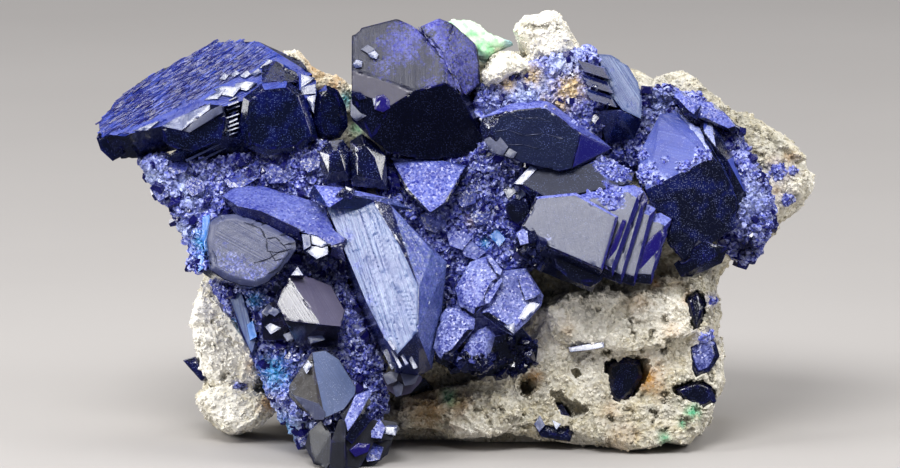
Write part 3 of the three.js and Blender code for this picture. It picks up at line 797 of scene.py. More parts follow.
@dataclass(frozen=True)
class PaperFinish:
    """Matte studio paper under the specimen, with faint cloudiness so that it is not one flat tone."""

    name: str = "matte_studio_paper"
    light: str = "#A8A4A1"
    dark: str = "#A09C99"
    roughness: float = 0.9

    def make(self) -> bpy.types.Material:
        """Builds the material."""
        material = bare_material(self.name)
        t = material.node_tree
        at = add(t, "ShaderNodeTexCoord").outputs["Object"]
        cloud = add(t, NOISE, {"Vector": at, "Scale": per_mm(120.0), "Detail": 3.0})
        colour = add(t, MIX, {"Factor": cloud.outputs["Fac"], 6: linear(self.dark), 7: linear(self.light)},
                     data_type="RGBA")
        shader = add(t, "ShaderNodeBsdfPrincipled", {
            "Base Color": colour.outputs[2], "Roughness": self.roughness})
        add(t, "ShaderNodeOutputMaterial", {"Surface": shader.outputs[0]})
        return material


# Stains and crystals


class Stain(Enum):
    """Colour in patches, by the name of the layer that holds it: stains that seeped in or grew there, and
    dark and pale spots, some of them painted shade and painted light.
    """

    OCHRE = "ochre"
    GREEN = "green"
    TURQUOISE = "turquoise"
    BLUE = "blue"
    PALE = "pale"
    DARK = "dark"


@dataclass(frozen=True)
class Spot:
    """A stain about a place on the display grid, with its reach in grid steps."""

    stain: Stain
    column: float
    row: float
    reach: float
    strength: float = 1.0


def spots(stain: Stain, *places: Place) -> tuple[Spot, ...]:
    """Spots of one stain, each given by its column, row, reach and strength."""
    return tuple(Spot(stain, *place) for place in places)


ROCK_STAINS = (
    # The wide pale spots at (600, 330) and (660, 310) are painted light that lifts the shade under the
    # stepped blade's overhang
    *spots(Stain.PALE, (215, 330, 60, 1.2), (235, 412, 30, 0.6), (545, 38, 40, 0.7), (560, 320, 16, 0.4),
           (585, 347, 14, 0.8), (472, 431, 18, 0.6), (785, 186, 30, 0.5), (182, 222, 24, 0.8),
           (505, 68, 24, 0.5), (600, 330, 44, 0.6), (660, 310, 36, 0.6), (720, 390, 40, 0.35)),
    # The dark spot at (540, 300) under the stepped blade and the wide ones at (600, 418) and (655, 425), low
    # on the right, are painted shade
    *spots(Stain.DARK, (600, 418, 34, 0.45), (655, 425, 34, 0.45), (660, 75, 36, 1.0), (705, 96, 36, 1.0),
           (745, 122, 36, 1.0), (785, 146, 24, 0.6), (540, 300, 12, 0.9), (470, 395, 40, 0.4)),
    *spots(Stain.OCHRE, (648, 378, 14, 1.0), (640, 300, 10, 0.4), (655, 283, 8, 0.8), (430, 408, 20, 0.7),
           (460, 404, 12, 0.6), (535, 375, 8, 0.9), (267, 404, 8, 0.9), (315, 66, 16, 0.6),
           (335, 84, 9, 0.7), (690, 300, 8, 0.6), (610, 412, 9, 0.4), (250, 366, 7, 0.4),
           (792, 156, 6, 0.6), (566, 330, 7, 0.4), (670, 330, 9, 0.4), (777, 190, 6, 0.5)),
    *spots(Stain.GREEN, (692, 412, 7, 1.0), (682, 423, 5, 0.9), (664, 437, 5, 0.8), (448, 397, 7, 0.8),
           (357, 128, 7, 0.7)),
    *spots(Stain.TURQUOISE, (346, 100, 7, 0.9)),
    *spots(Stain.BLUE, (780, 172, 8, 0.8), (795, 170, 5, 0.7), (789, 200, 5, 0.7), (240, 388, 6, 0.5),
           (712, 300, 7, 0.5), (706, 340, 10, 0.5)),
)
CRUST_STAINS = (
    *spots(Stain.TURQUOISE, (205, 243, 9, 0.7), (236, 330, 10, 0.7), (275, 372, 14, 0.5),
           (285, 430, 12, 0.4), (486, 244, 5, 0.4), (255, 300, 8, 0.4)),
    *spots(Stain.PALE, (300, 432, 16, 0.6), (268, 410, 14, 0.5), (376, 452, 16, 0.8), (150, 178, 16, 0.5),
           (188, 190, 16, 0.4), (525, 95, 26, 0.55), (565, 62, 16, 0.5), (752, 200, 18, 0.25),
           (180, 230, 9, 0.5), (660, 105, 16, 0.3)),
    *spots(Stain.OCHRE, (568, 88, 12, 1.0), (560, 106, 8, 0.8), (508, 84, 8, 0.7), (530, 76, 9, 0.8),
           (545, 100, 6, 0.5), (470, 222, 5, 0.4)),
    # The dark spots lie in recesses under and between the large crystals: painted shade.
    *spots(Stain.DARK, (352, 165, 30, 0.6), (488, 190, 20, 0.1), (520, 215, 12, 0.35), (600, 140, 20, 0.6),
           (728, 135, 12, 0.8), (746, 246, 12, 0.8), (318, 335, 18, 0.5), (250, 160, 26, 0.25),
           (312, 268, 14, 0.5)),
)


def stained(points: Array, places: Sequence[Spot]) -> dict[str, Array]:
    """How strong each stain is at each point, with ragged borders and only on the display side.

    Args:
        points: One point a row.
        places: The stains.

    Returns:
        A layer of values for each kind of stain.
    """
    at = GRID.read(points)
    ragged = 1.0 + 0.55 * swell(points, 2.4, 71, 2) + 0.5 * swell(points, 0.9, 74, 2)
    facing = ramp(at[:, 2], -60.0, -20.0)
    layers = {stain.value: np.zeros(len(points)) for stain in Stain}
    for spot in places:
        d = np.hypot(at[:, 0] - spot.column, at[:, 1] - spot.row) / (spot.reach * ragged)
        layer = layers[spot.stain.value]
        np.maximum(layer, spot.strength * facing * np.exp(-d * d), out=layer)
    return layers


class Habit(Enum):
    """How a crystal face finished growing: the satin, sugar, stria and thin values of its finish."""

    GLASSY = (0.0, 0.0, 0.0, 0.0)
    SATIN = (1.0, 0.0, 0.12, 0.0)
    STRIATED = (0.75, 0.0, 0.8, 0.0)
    DUSTED = (0.5, 0.52, 0.1, 0.0)
    SUGARED = (0.3, 0.95, 0.0, 0.0)
    THIN = (0.1, 0.0, 0.3, 0.5)
    VEILED = (0.6, 0.0, 0.05, 0.6)
    GLINT = (0.35, 0.0, 0.2, 0.0)
    DULL = (0.4, 0.0, 0.1, 0.0)
    BRUSHED = (0.9, 0.0, 0.4, 0.0)
    FROSTED = (0.35, 0.74, 0.0, 0.0)


@dataclass(frozen=True)
class FaceGrowth:
    """Growth on the faces of a crystal that look a given way on the display grid.

    `up` and `left` are the way the faces look and `within` how far off still counts, in degrees;
    `run` is the direction of the striae in columns, rows and out; `depth`, `pitch` and `length` are the
    height of the laths that make the striae, their spacing and how far each runs, in millimetres.
    """

    up: float
    left: float
    within: float
    habit: Habit
    run: tuple[float, float, float] = (0.0, 1.0, 0.0)
    depth: float = 0.0
    pitch: float = 0.6
    length: float = 30.0


class Dressed:
    """A CAD node that is diced, worked by `dress` into a piece of its own and replaced by it."""

    node: str
    slot: str
    bevel: float
    fine: float
    coarse: float

    def dress(self, surface: Surface, material: bpy.types.Material) -> bpy.types.Object:
        """Works the diced surface and makes the piece of it."""
        raise NotImplementedError

    def build(self, sight: Sight, material: bpy.types.Material) -> bpy.types.Object:
        """Makes the dressed piece and puts it in the place of its CAD node.

        Args:
            sight: Tells what is in view.
            material: The made finish.

        Returns:
            The piece.
        """
        surface = surface_of(cad_mesh(self.node), self.bevel)
        surface.dice(sight.open_from, self.fine, self.coarse)
        piece = self.dress(surface, material)
        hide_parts(self.node)
        return piece


@dataclass
class Crystal(Dressed):
    """A CAD crystal, or a group grown together, dressed with eased edges, growth steps and finish."""

    node: str
    finish: AzuriteFinish
    growth: tuple[FaceGrowth, ...] = ()  # later rules go over earlier ones
    habit: Habit = Habit.GLASSY
    dust: float = 0.6  # how much sugar lies on what looks up
    bevel: float = 0.16  # millimetres
    relief: float = 0.03  # millimetres of low growth hillocks
    chip: float = 0.22  # millimetres that the edges are nicked
    fine: float = 0.65  # millimetres, longest edge where it shows
    coarse: float = 2.0  # millimetres, longest edge where it is hidden
    slot: str = "azurite_crystal"
    overgrowth: tuple[Spot, ...] = ()  # blue patches of a second growth
    tufts: int = 0  # crystals that stand up in those patches
    seed: int = 1

    def dress(self, surface: Surface, material: bpy.types.Material) -> bpy.types.Object:
        """Grows the crystal's steps and layers."""
        return grow(f"{self.node}_grown", surface, self, material)


def laths(at: Array, run_at: Array, pitch: Array, length: Array, seed: int) -> Array:
    """Height from about -1 to 1 of a face made of thin laths side by side, each tilted its own way.

    Args:
        at: Millimetres across the laths.
        run_at: Millimetres along them.
        pitch: Their width.
        length: How far each runs.
        seed: Which laths.

    Returns:
        One height a point.
    """
    height = np.zeros(len(at))
    for layer, (share, wide) in enumerate(((0.6, 1.0), (0.35, 0.45), (0.4, 3.1))):
        place = at / (pitch * wide)
        cell = np.floor(place)
        key = np.stack([cell, np.full(len(at), layer), np.zeros(len(at))], axis=1)
        key[:, 2] = np.floor(run_at / (length * (0.6 + 0.4 * wide)) + 9.0 * hashed(key, seed))
        lean = (hashed(key, seed + 1) - 0.5) * (2.0 * (place - cell) - 1.0)
        height += share * 2.0 * (hashed(key, seed + 2) - 0.5 + lean)
    return height


def grow(name: str, surface: Surface, look: Crystal, material: bpy.types.Material) -> bpy.types.Object:
    """Raises the growth steps of a crystal and gives it the layers that its finish reads.

    Args:
        name: The piece's name.
        surface: The diced surface, which is changed.
        look: The growth to give it.
        material: The made finish.

    Returns:
        The piece.
    """
    faces = surface.looks
    upward = faces @ GRID.axes()[1]
    satin, sugar, stria, thin = (np.full(len(faces), v) for v in look.habit.value)
    sugar = np.maximum(sugar, look.dust * ramp(upward, 0.45, 0.85))
    run = np.tile(GRID.axes()[1], (len(faces), 1))
    depth, pitch, length = np.zeros(len(faces)), np.ones(len(faces)), np.full(len(faces), 30.0)
    for rule in look.growth:
        those = faces @ GRID.towards(rule.up, rule.left) > math.cos(math.radians(rule.within))
        satin[those], sugar[those], stria[those], thin[those] = rule.habit.value
        run[those] = GRID.along(*rule.run)
        depth[those], pitch[those], length[those] = rule.depth, rule.pitch, rule.length
    across = np.cross(faces, run)
    across /= np.maximum(np.linalg.norm(across, axis=1, keepdims=True), 1e-9)
    along = np.cross(across, faces)
    of_tri = surface.faces
    ways, hits, raise_by = (np.zeros(len(surface.points)) for _ in range(3))
    for k in range(3):
        corner = surface.points[surface.tris[:, k]] / MM
        at = np.sum(corner * across[of_tri], axis=1)
        run_at = np.sum(corner * along[of_tri], axis=1)
        steps = laths(at, run_at, pitch[of_tri], length[of_tri], look.seed)
        np.add.at(ways, surface.tris[:, k], at)
        np.add.at(raise_by, surface.tris[:, k], steps * depth[of_tri])
        np.add.at(hits, surface.tris[:, k], 1.0)
    ways /= hits
    raise_by /= hits
    p = surface.points
    normals = surface.normals()
    off = surface.ridge_distance()
    inner = ramp(off, 0.1, 0.9)
    terrace = np.round(2.5 * swell(p, 7.0, look.seed + 11, 2)) / 2.5
    hillock = terrace + 0.5 * swell(p, 2.2, look.seed + 5, 2)
    second_growth = stained(p, look.overgrowth)["blue"] * ramp(normals @ GRID.axes()[1], 0.1, 0.25)
    dusted = np.maximum(surface.to_points(sugar[of_tri]), second_growth)
    near, _, slope = blocks(p, 1.1, look.seed + 31)
    crumbs = ramp(dusted, 0.35, 0.8) * (0.07 * slope + 0.04 * (0.5 - near))
    chips = -look.chip * ramp(swell(p, 1.6, look.seed + 21, 2), 0.15, 0.6) * (1.0 - ramp(off, 0.1, 0.5))
    lift = inner * (raise_by + look.relief * hillock) + crumbs + chips
    surface.points = p + normals * (lift * MM)[:, None]
    surface.points[:, 2] = np.maximum(surface.points[:, 2], np.minimum(p[:, 2], RESTING))
    layers = {"satin": satin[of_tri], "sugar": dusted, "stria": stria[of_tri], "thin": thin[of_tri],
              "across": ways, "edge": 1.0 - ramp(off, 0.0, 0.45)}
    return piece_of(name, surface, material, layers)


# Crust, rock and small growth


@dataclass
class Druse(Dressed):
    """Sugary crust: a CAD solid broken up into small crystal blocks."""

    node: str = "azurite_crust"
    slot: str = "azurite_druse"
    bevel: float = 0.0
    fine: float = 0.68
    coarse: float = 2.0
    lumps: float = 0.7  # millimetres of rounded swelling
    tilt: float = 0.55  # millimetres that the crystal blocks stand proud
    block: float = 1.7  # millimetres across a block
    groove: float = 0.3  # millimetres that they are parted by
    swelling: float = 0.25  # millimetres that the whole grows out
    seed: int = 3

    def dress(self, surface: Surface, material: bpy.types.Material) -> bpy.types.Object:
        """Swells the crust and breaks it into blocks, with grooves between them and shade painted dark into
        them and the low ground.
        """
        p = surface.points
        normals = surface.normals()
        near, second, slope = blocks(p, self.block, self.seed)
        _, _, tip = blocks(p, 0.45 * self.block, self.seed + 50)
        groove = 1.0 - ramp(second - near, 0.02, 0.3)
        lumps = swell(p, 6.0, self.seed, 3)
        lift = self.lumps * lumps + self.tilt * (slope + 0.35 * tip) - self.groove * groove + self.swelling
        surface.points = p + normals * (lift * MM)[:, None]
        surface.points[:, 2] = np.maximum(surface.points[:, 2], np.minimum(p[:, 2], RESTING))
        # Painted shade: darker in the grooves and on the low ground between lumps
        hollow = np.clip(0.75 * groove + 0.5 * ramp(-lumps, 0.2, 0.7), 0.0, 1.0)
        layers = {"hollow": 0.7 * hollow} | stained(p, CRUST_STAINS)
        return piece_of(f"{self.node}_grown", surface, material, layers, 20.0)


@dataclass
class Matrix(Dressed):
    """The rock that everything grew on: granular, pitted and stained."""

    node: str = "matrix"
    slot: str = "matrix_rock"
    bevel: float = 0.0
    fine: float = 0.73
    coarse: float = 2.0
    lumps: float = 0.8  # millimetres of broad swelling
    planes: float = 1.1  # millimetres that broken blocks stand out
    grit: float = 0.22  # millimetres of small unevenness and of crumbs
    dust: float = 0.12  # millimetres of the finest unevenness
    pits: float = 1.2  # millimetres deep
    seed: int = 7

    def dress(self, surface: Surface, material: bpy.types.Material) -> bpy.types.Object:
        """Breaks the rock into planes and crumbs, pits it, paints shade into the pits and leaves its foot
        flat.
        """
        p = surface.points
        normals = surface.normals()
        resting = 1.0 - ramp(p[:, 2] / MM, 0.2, 2.5)
        warp = np.stack([swell(p, 4.0, self.seed + k, 2) for k in (31, 32, 33)], axis=1)
        _, _, planes = blocks(p + 1.4 * MM * warp, 6.0, self.seed + 20)
        _, _, crumbs = blocks(p, 0.9, self.seed + 40)
        pitted = ramp(swell(p, 8.0, self.seed + 6), -0.3, 0.3)
        pits = ramp(swell(p, 2.2, self.seed + 5, 2), 0.25, 0.5) * pitted
        lumps = swell(p, 9.0, self.seed, 4)
        at = GRID.read(p)
        smooth = 0.5 * ramp(90.0 - at[:, 1], 0.0, 12.0) * ramp(at[:, 0], 470.0, 485.0)
        uneven, finest = swell(p, 2.0, self.seed + 1, 3), swell(p, 0.6, self.seed + 8)
        lift = (self.lumps * lumps + self.planes * planes + self.grit * uneven
                + (1.0 - smooth) * (self.grit * crumbs + self.dust * finest - self.pits * pits))
        lift *= 1.0 - resting
        surface.points = p + normals * (lift * MM)[:, None]
        surface.points[:, 2] = np.maximum(surface.points[:, 2], 0.0)
        layers = rock_layers(p)
        # Painted shade: the pit colour darkens the pits and the low ground between lumps
        layers["pit"] = np.clip(layers["pit"] + 0.8 * pits + 0.25 * ramp(-lumps, 0.15, 0.6), 0.0, 1.0)
        return piece_of(f"{self.node}_dressed", surface, material, layers, 30.0)


def rock_layers(points: Array) -> dict[str, Array]:
    """The rock's stains at each point, with rust and paler veins all through it."""
    layers = stained(points, ROCK_STAINS)
    rust = 0.3 * ramp(swell(points, 11.0, 81, 3), 0.3, 0.6)
    layers["ochre"] = np.maximum(layers["ochre"], rust)
    layers["pale"] = layers["pale"] + 0.3 * ramp(swell(points, 8.0, 83, 2), 0.0, 0.5)
    # The dark spots darken through the pit colour, some of them as painted shade
    layers["pit"] = 0.4 * layers["dark"]
    return layers


@dataclass
class MalachitePatch(Dressed):
    """Pale green malachite felt beside the top block."""

    node: str = "malachite_patch"
    slot: str = "malachite"
    bevel: float = 0.0
    fine: float = 0.5
    coarse: float = 0.9
    lumps: float = 0.7  # millimetres of rounded swelling
    tufts: float = 0.4  # millimetres of felt
    swelling: float = 0.3  # millimetres that the whole grows out
    seed: int = 9

    def dress(self, surface: Surface, material: bpy.types.Material) -> bpy.types.Object:
        """Swells the patch into felt, bluer and a little darker low down and on the right."""
        p = surface.points
        felt = self.tufts * swell(p, 0.9, self.seed + 4, 2)
        lift = self.lumps * swell(p, 3.0, self.seed, 4) + felt + self.swelling
        at = GRID.read(p)
        low_and_right = np.maximum(ramp(at[:, 1] - 0.4 * at[:, 0], -146.0, -132.0), ramp(at[:, 0], 496.0, 510.0))
        surface.points = p + surface.normals() * (lift * MM)[:, None]
        return piece_of(f"{self.node}_felt", surface, material, {"hollow": 0.8 * low_and_right}, 30.0)


@dataclass
class Scatter:
    """Many tiny tabular crystals grown on a dressed piece, joined into one mesh."""

    name: str
    count: int
    smallest: float  # millimetres long
    largest: float
    lean: float = 0.9  # how far a crystal leans from upright on its ground
    wide: float = 0.8  # width as a share of the length
    flat: float = 0.4  # thickness as a share of the length
    run: Array | None = None  # the way that laths lie, where they all lie one way
    slot: str = "azurite_druse"
    seed: int = 21

    def build(self, sight: Sight, ground: bpy.types.Object, material: bpy.types.Material,
              keep: Callable[[Array, Array], Array],
              layers: Callable[[Array], dict[str, Array]]) -> bpy.types.Object:
        """Grows the crystals where the viewer sees their ground.

        Args:
            sight: Tells what is in view.
            ground: The piece that they grow on.
            material: Their finish.
            keep: Tells from points and normals how readily crystals grow there.
            layers: Gives the layers that the finish reads at each point.

        Returns:
            The piece.
        """
        rng = np.random.default_rng(self.seed)
        mesh = ground.data
        points = np.empty(3 * len(mesh.vertices), np.float32)
        mesh.vertices.foreach_get("co", points)
        points = points.reshape(-1, 3).astype(float)
        tris = np.empty(3 * len(mesh.polygons), np.int32)
        mesh.loops.foreach_get("vertex_index", tris)
        tris = tris.reshape(-1, 3)
        a, b, c = (points[tris[:, i]] for i in range(3))
        n = np.cross(b - a, c - a)
        area = np.linalg.norm(n, axis=1)
        n /= np.maximum(area, TINY)[:, None]
        area = area * keep((a + b + c) / 3.0, n)
        pick = rng.choice(len(tris), 3 * self.count, p=area / area.sum())
        u, v = rng.random((2, len(pick)))
        over = u + v > 1.0
        u, v = np.where(over, 1.0 - u, u), np.where(over, 1.0 - v, v)
        feet = a[pick] + (b - a)[pick] * u[:, None] + (c - a)[pick] * v[:, None]
        seen = np.flatnonzero(sight.open_from(feet, 1.5))[:self.count]
        feet, ground_ways = feet[seen], n[pick][seen]
        count = len(feet)
        stray = self.lean * rng.uniform(-1.0, 1.0, (count, 3))
        axis = (ground_ways if self.run is None else self.run) + stray
        side = rng.uniform(-1.0, 1.0, (count, 3)) if self.run is None else ground_ways + 4.0 * stray
        size = self.smallest * (self.largest / self.smallest) ** (rng.random(count) ** 2.2)
        surface = tabular(feet, axis, side, size * MM, (self.wide, self.flat), rng)
        surface.points[:, 2] = np.maximum(surface.points[:, 2], 0.0)
        piece = piece_of(self.name, surface, material, layers(surface.points), None)
        return piece


def tabular(feet: Array, axis: Array, side: Array, size: Array, shares: tuple[float, float],
            rng: np.random.Generator) -> Surface:
    """Small tabular crystals with a wedge top, one for each foot.

    Args:
        feet: Where each stands.
        axis: The way each points.
        side: A way that its broad side is square to.
        size: Length of each, in metres.
        shares: Width and thickness as shares of the length.
        rng: Random numbers for the shapes.

    Returns:
        All of them as one surface.
    """
    count = len(feet)
    z = axis / np.linalg.norm(axis, axis=1, keepdims=True)
    x = np.cross(z, side)
    x /= np.linalg.norm(x, axis=1, keepdims=True)
    y = np.cross(z, x)
    shape = np.array([[-0.5, -0.5, -0.4], [0.5, -0.5, -0.4], [0.5, 0.5, -0.4], [-0.5, 0.5, -0.4],
                      [-0.55, -0.5, 0.3], [0.5, -0.55, 0.35], [0.55, 0.5, 0.3], [-0.5, 0.55, 0.25],
                      [-0.3, -0.05, 0.62], [0.28, 0.05, 0.66]])
    wide = shares[0] * rng.uniform(0.7, 1.25, count)
    thick = shares[1] * rng.uniform(0.7, 1.5, count)
    scale = np.stack([wide, thick, np.ones(count)], axis=1) * size[:, None]
    local = shape[None] * scale[:, None, :]
    points = (feet[:, None, :] + local[..., 0:1] * x[:, None] + local[..., 1:2] * y[:, None]
              + local[..., 2:3] * z[:, None])
    block = np.array([[0, 1, 5], [0, 5, 4], [1, 2, 6], [1, 6, 5], [2, 3, 7], [2, 7, 6], [3, 0, 4], [3, 4, 7],
                      [4, 5, 9], [4, 9, 8], [5, 6, 9], [6, 7, 8], [6, 8, 9], [7, 4, 8], [3, 2, 1], [3, 1, 0]])
    tris = (block[None] + 10 * np.arange(count)[:, None, None]).reshape(-1, 3)
    return Surface(points.reshape(-1, 3), tris, np.zeros(len(tris), int), np.zeros((1, 3)), np.zeros((0, 3)))


@dataclass(frozen=True)
class Facet:
    """A small crystal whose front face has this outline on the display grid."""

    outline: tuple[Corner, ...]
    up: float = 22.0  # degrees that the face looks up
    left: float = 7.0  # degrees that it looks left
    lift: float = 3.0  # grid steps that it stands off what carries it
    sunk: float = 14.0  # grid steps that the crystal goes back from its face
    broken: float = 0.8  # grid steps that corners of the face are broken back by, at most

    def corners(self, sight: Sight) -> Array:
        """The crystal's corners in space, its front face standing `lift` steps off what carries it."""
        c, r = (sum(p[i] for p in self.outline) / len(self.outline) for i in (0, 1))
        out = sight.out_at(c, r) + self.lift
        rise, run = math.tan(math.radians(self.up)), math.tan(math.radians(self.left))
        drop = self.broken * hashed(np.array([(x, y, i) for i, (x, y) in enumerate(self.outline)]), 5) ** 2
        front = [(x, y, out + (y - r) * rise + (x - c) * run - d) for (x, y), d in zip(self.outline, drop)]
        back = [(c + 1.05 * (x - c), r + 1.05 * (y - r), z - self.sunk) for x, y, z in front]
        placed = GRID.place(front + back)
        placed[:, 2] = np.maximum(placed[:, 2], 0.1 * MM)
        return placed


@dataclass
class SmallCrystals:
    """A named group of small crystals on the large ones, with one finish."""

    name: str
    facets: tuple[Facet, ...]
    finish: AzuriteFinish
    habit: Habit = Habit.GLASSY
    dust: float = 0.0

    def build(self, sight: Sight, material: bpy.types.Material) -> bpy.types.Object:
        """Makes the group as one piece.

        Args:
            sight: Tells what carries each crystal.
            material: The made finish.

        Returns:
            The piece.
        """
        surface = surface_of(hull_mesh([f.corners(sight) for f in self.facets]), 0.05)
        surface.dice(sight.open_from, 0.8, 1.6)
        look = Crystal("", self.finish, (), self.habit, self.dust, relief=0.02, seed=41)
        piece = grow(self.name, surface, look, material)
        return piece


def row_of_plates(start: Corner, end: Corner, count: int, long: float, high: float, slant: float,
                  up: float = 22.0, left: float = 7.0, lift: float = 3.0) -> tuple[Facet, ...]:
    """Small parallel plates in a row.

    Args:
        start: Grid place of the first.
        end: Grid place of the last.
        count: How many.
        long: Steps along each plate.
        high: Steps across each plate.
        slant: Rows that a plate climbs over its length.
        up: Degrees that the plates look up.
        left: Degrees that they look left.
        lift: Steps that they stand off.

    Returns:
        The plates.
    """
    made = []
    for i in range(count):
        s = i / max(1, count - 1)
        c, r = (start[k] + (end[k] - start[k]) * s for k in (0, 1))
        l, h = long * (0.8 + 0.4 * ((i * 7) % 5) / 4), high * (0.8 + 0.4 * ((i * 3) % 4) / 3)
        outline = ((c - l / 2, r + slant / 2), (c + l / 2, r - slant / 2),
                   (c + l / 2 + h * 0.2, r - slant / 2 + h), (c - l / 2 + h * 0.2, r + slant / 2 + h))
        made.append(Facet(outline, up, left, lift, broken=0.2))
    return tuple(made)


def crack(*path: Corner, width: float, lift: float = 0.7) -> tuple[Facet, ...]:
    """A crack or ripple as thin slivers along a path on the display grid, widest in its middle."""
    made = []
    for i, ((x, y), (u, v)) in enumerate(zip(path, path[1:])):
        half = 0.5 * width * (1.0 - 0.3 * (i % 2))
        a, b = (y - v) / math.hypot(u - x, v - y) * half, (u - x) / math.hypot(u - x, v - y) * half
        made.append(Facet(((x, y), (x + 0.6 * (u - x) + a, y + 0.6 * (v - y) + b), (u, v),
                           (x + 0.4 * (u - x) - a, y + 0.4 * (v - y) - b)), 14, 3, lift, 4, 0.0))
    return tuple(made)


# The specimen's pieces

DARK = AzuriteFinish("azurite_dark_glassy_crystal")
# The pale satin colour here is a painted highlight, so that the small facets read near white.
MIRROR = AzuriteFinish("azurite_mirror_facet", deep="#0A0D24", vivid="#3C4880", satin="#8A97CC",
                       glass_roughness=0.1, pitting=0.0, glint_speckle=0.1, shine=0.55)
PRISM = AzuriteFinish("azurite_polished_prism_face", satin="#4A4460", vivid="#332E4C", pitting=0.02,
                      glint_speckle=0.2, shine=0.42)
LAVENDER = AzuriteFinish("azurite_satin_etched_face", satin="#44485C", vivid="#2E3354",
                         satin_roughness=0.38, glint_speckle=0.5, shine=0.42)
ROUND = AzuriteFinish("azurite_brushed_etched_face", satin="#4A4E62", vivid="#222A5A", satin_roughness=0.42,
                      stria_width=0.3, shine=0.35)
SLATE = AzuriteFinish("azurite_dull_etched_face", satin="#171D32", vivid="#11162E", satin_roughness=0.5,
                      shine=0.13)
RIPPLED = AzuriteFinish("azurite_rippled_dark_face", vivid="#18204A", satin="#28324E", satin_roughness=0.3)
STEEL = AzuriteFinish("azurite_striated_pale_face", deep="#0B1038", vivid="#1E3480", satin="#728BB6",
                      satin_roughness=0.36, stria_width=0.3)
PLATE = AzuriteFinish("azurite_striated_deep_face", deep="#060A20", speck="#5A6A9E", glint_speckle=0.9,
                      vivid="#0E1672", satin="#3C58CC", satin_roughness=0.34, shine=0.24)
VEILED = AzuriteFinish("azurite_veiled_striated_face", edge="#9C98A2", satin="#262740", vivid="#121529",
                       speck="#56629E", satin_roughness=0.44, glint_speckle=0.4, sugar_dark="#2A2A92",
                       sugar_light="#7074C0", shine=0.21)
TABLE = AzuriteFinish("azurite_striated_blue_table", deep="#090D24", vivid="#1A2A92", satin="#4A60BE",
                      satin_roughness=0.4, glint_speckle=0.9, speck="#98A1C4", sugar_dark="#6F7CCC",
                      sugar_light="#C6CEF2", shine=0.4)
GREY = AzuriteFinish("azurite_grey_steel_face", deep="#332F2E", vivid="#4A587E", satin="#5A6C9A",
                     speck="#B0BCDC", glass_roughness=0.34, satin_roughness=0.42, glint_speckle=0.8)
SPEAR = AzuriteFinish("azurite_dull_grey_spear", deep="#17181E", vivid="#2A2B34", satin="#3C3D44",
                      glass_roughness=0.3, glint_speckle=0.15, pitting=0.02, shine=0.25)
VIOLET = AzuriteFinish("azurite_thin_violet_crystal", deep="#0A0630", vivid="#150E60", edge="#20167E",
                       satin="#262078", pitting=0.03, glint_speckle=0.3)
AZURE = AzuriteFinish("azurite_thin_azure_crystal", deep="#1F58B0", vivid="#3A80CC", satin="#5C98D6",
                      pitting=0.05)
SUGARY = AzuriteFinish("azurite_sugared_crystal", sugar_dark="#20288A", sugar_light="#626EC2")
SLAB = AzuriteFinish("azurite_dull_sugared_slab", satin="#242258", sugar_dark="#262E88",
                     sugar_light="#6E78C0")
ROSETTE = AzuriteFinish("azurite_fine_sugared_rosette", sugar_dark="#323A98", sugar_light="#8690CE")
ROCK = CarbonateFinish("vuggy_carbonate_rock_broken")
CRUST = DruseFinish("azurite_druse_sugary_crust")
MALACHITE = MalachiteFinish("malachite_powdery_felt")
FINISHES = (DARK, MIRROR, PRISM, LAVENDER, ROUND, SLATE, RIPPLED, STEEL, PLATE, VEILED, TABLE, GREY, SPEAR,
            VIOLET, AZURE, SUGARY, SLAB, ROSETTE, ROCK, CRUST, MALACHITE)


def grown_over(*places: Place) -> tuple[Spot, ...]:
    """Blue patches of a second growth."""
    return spots(Stain.BLUE, *places)


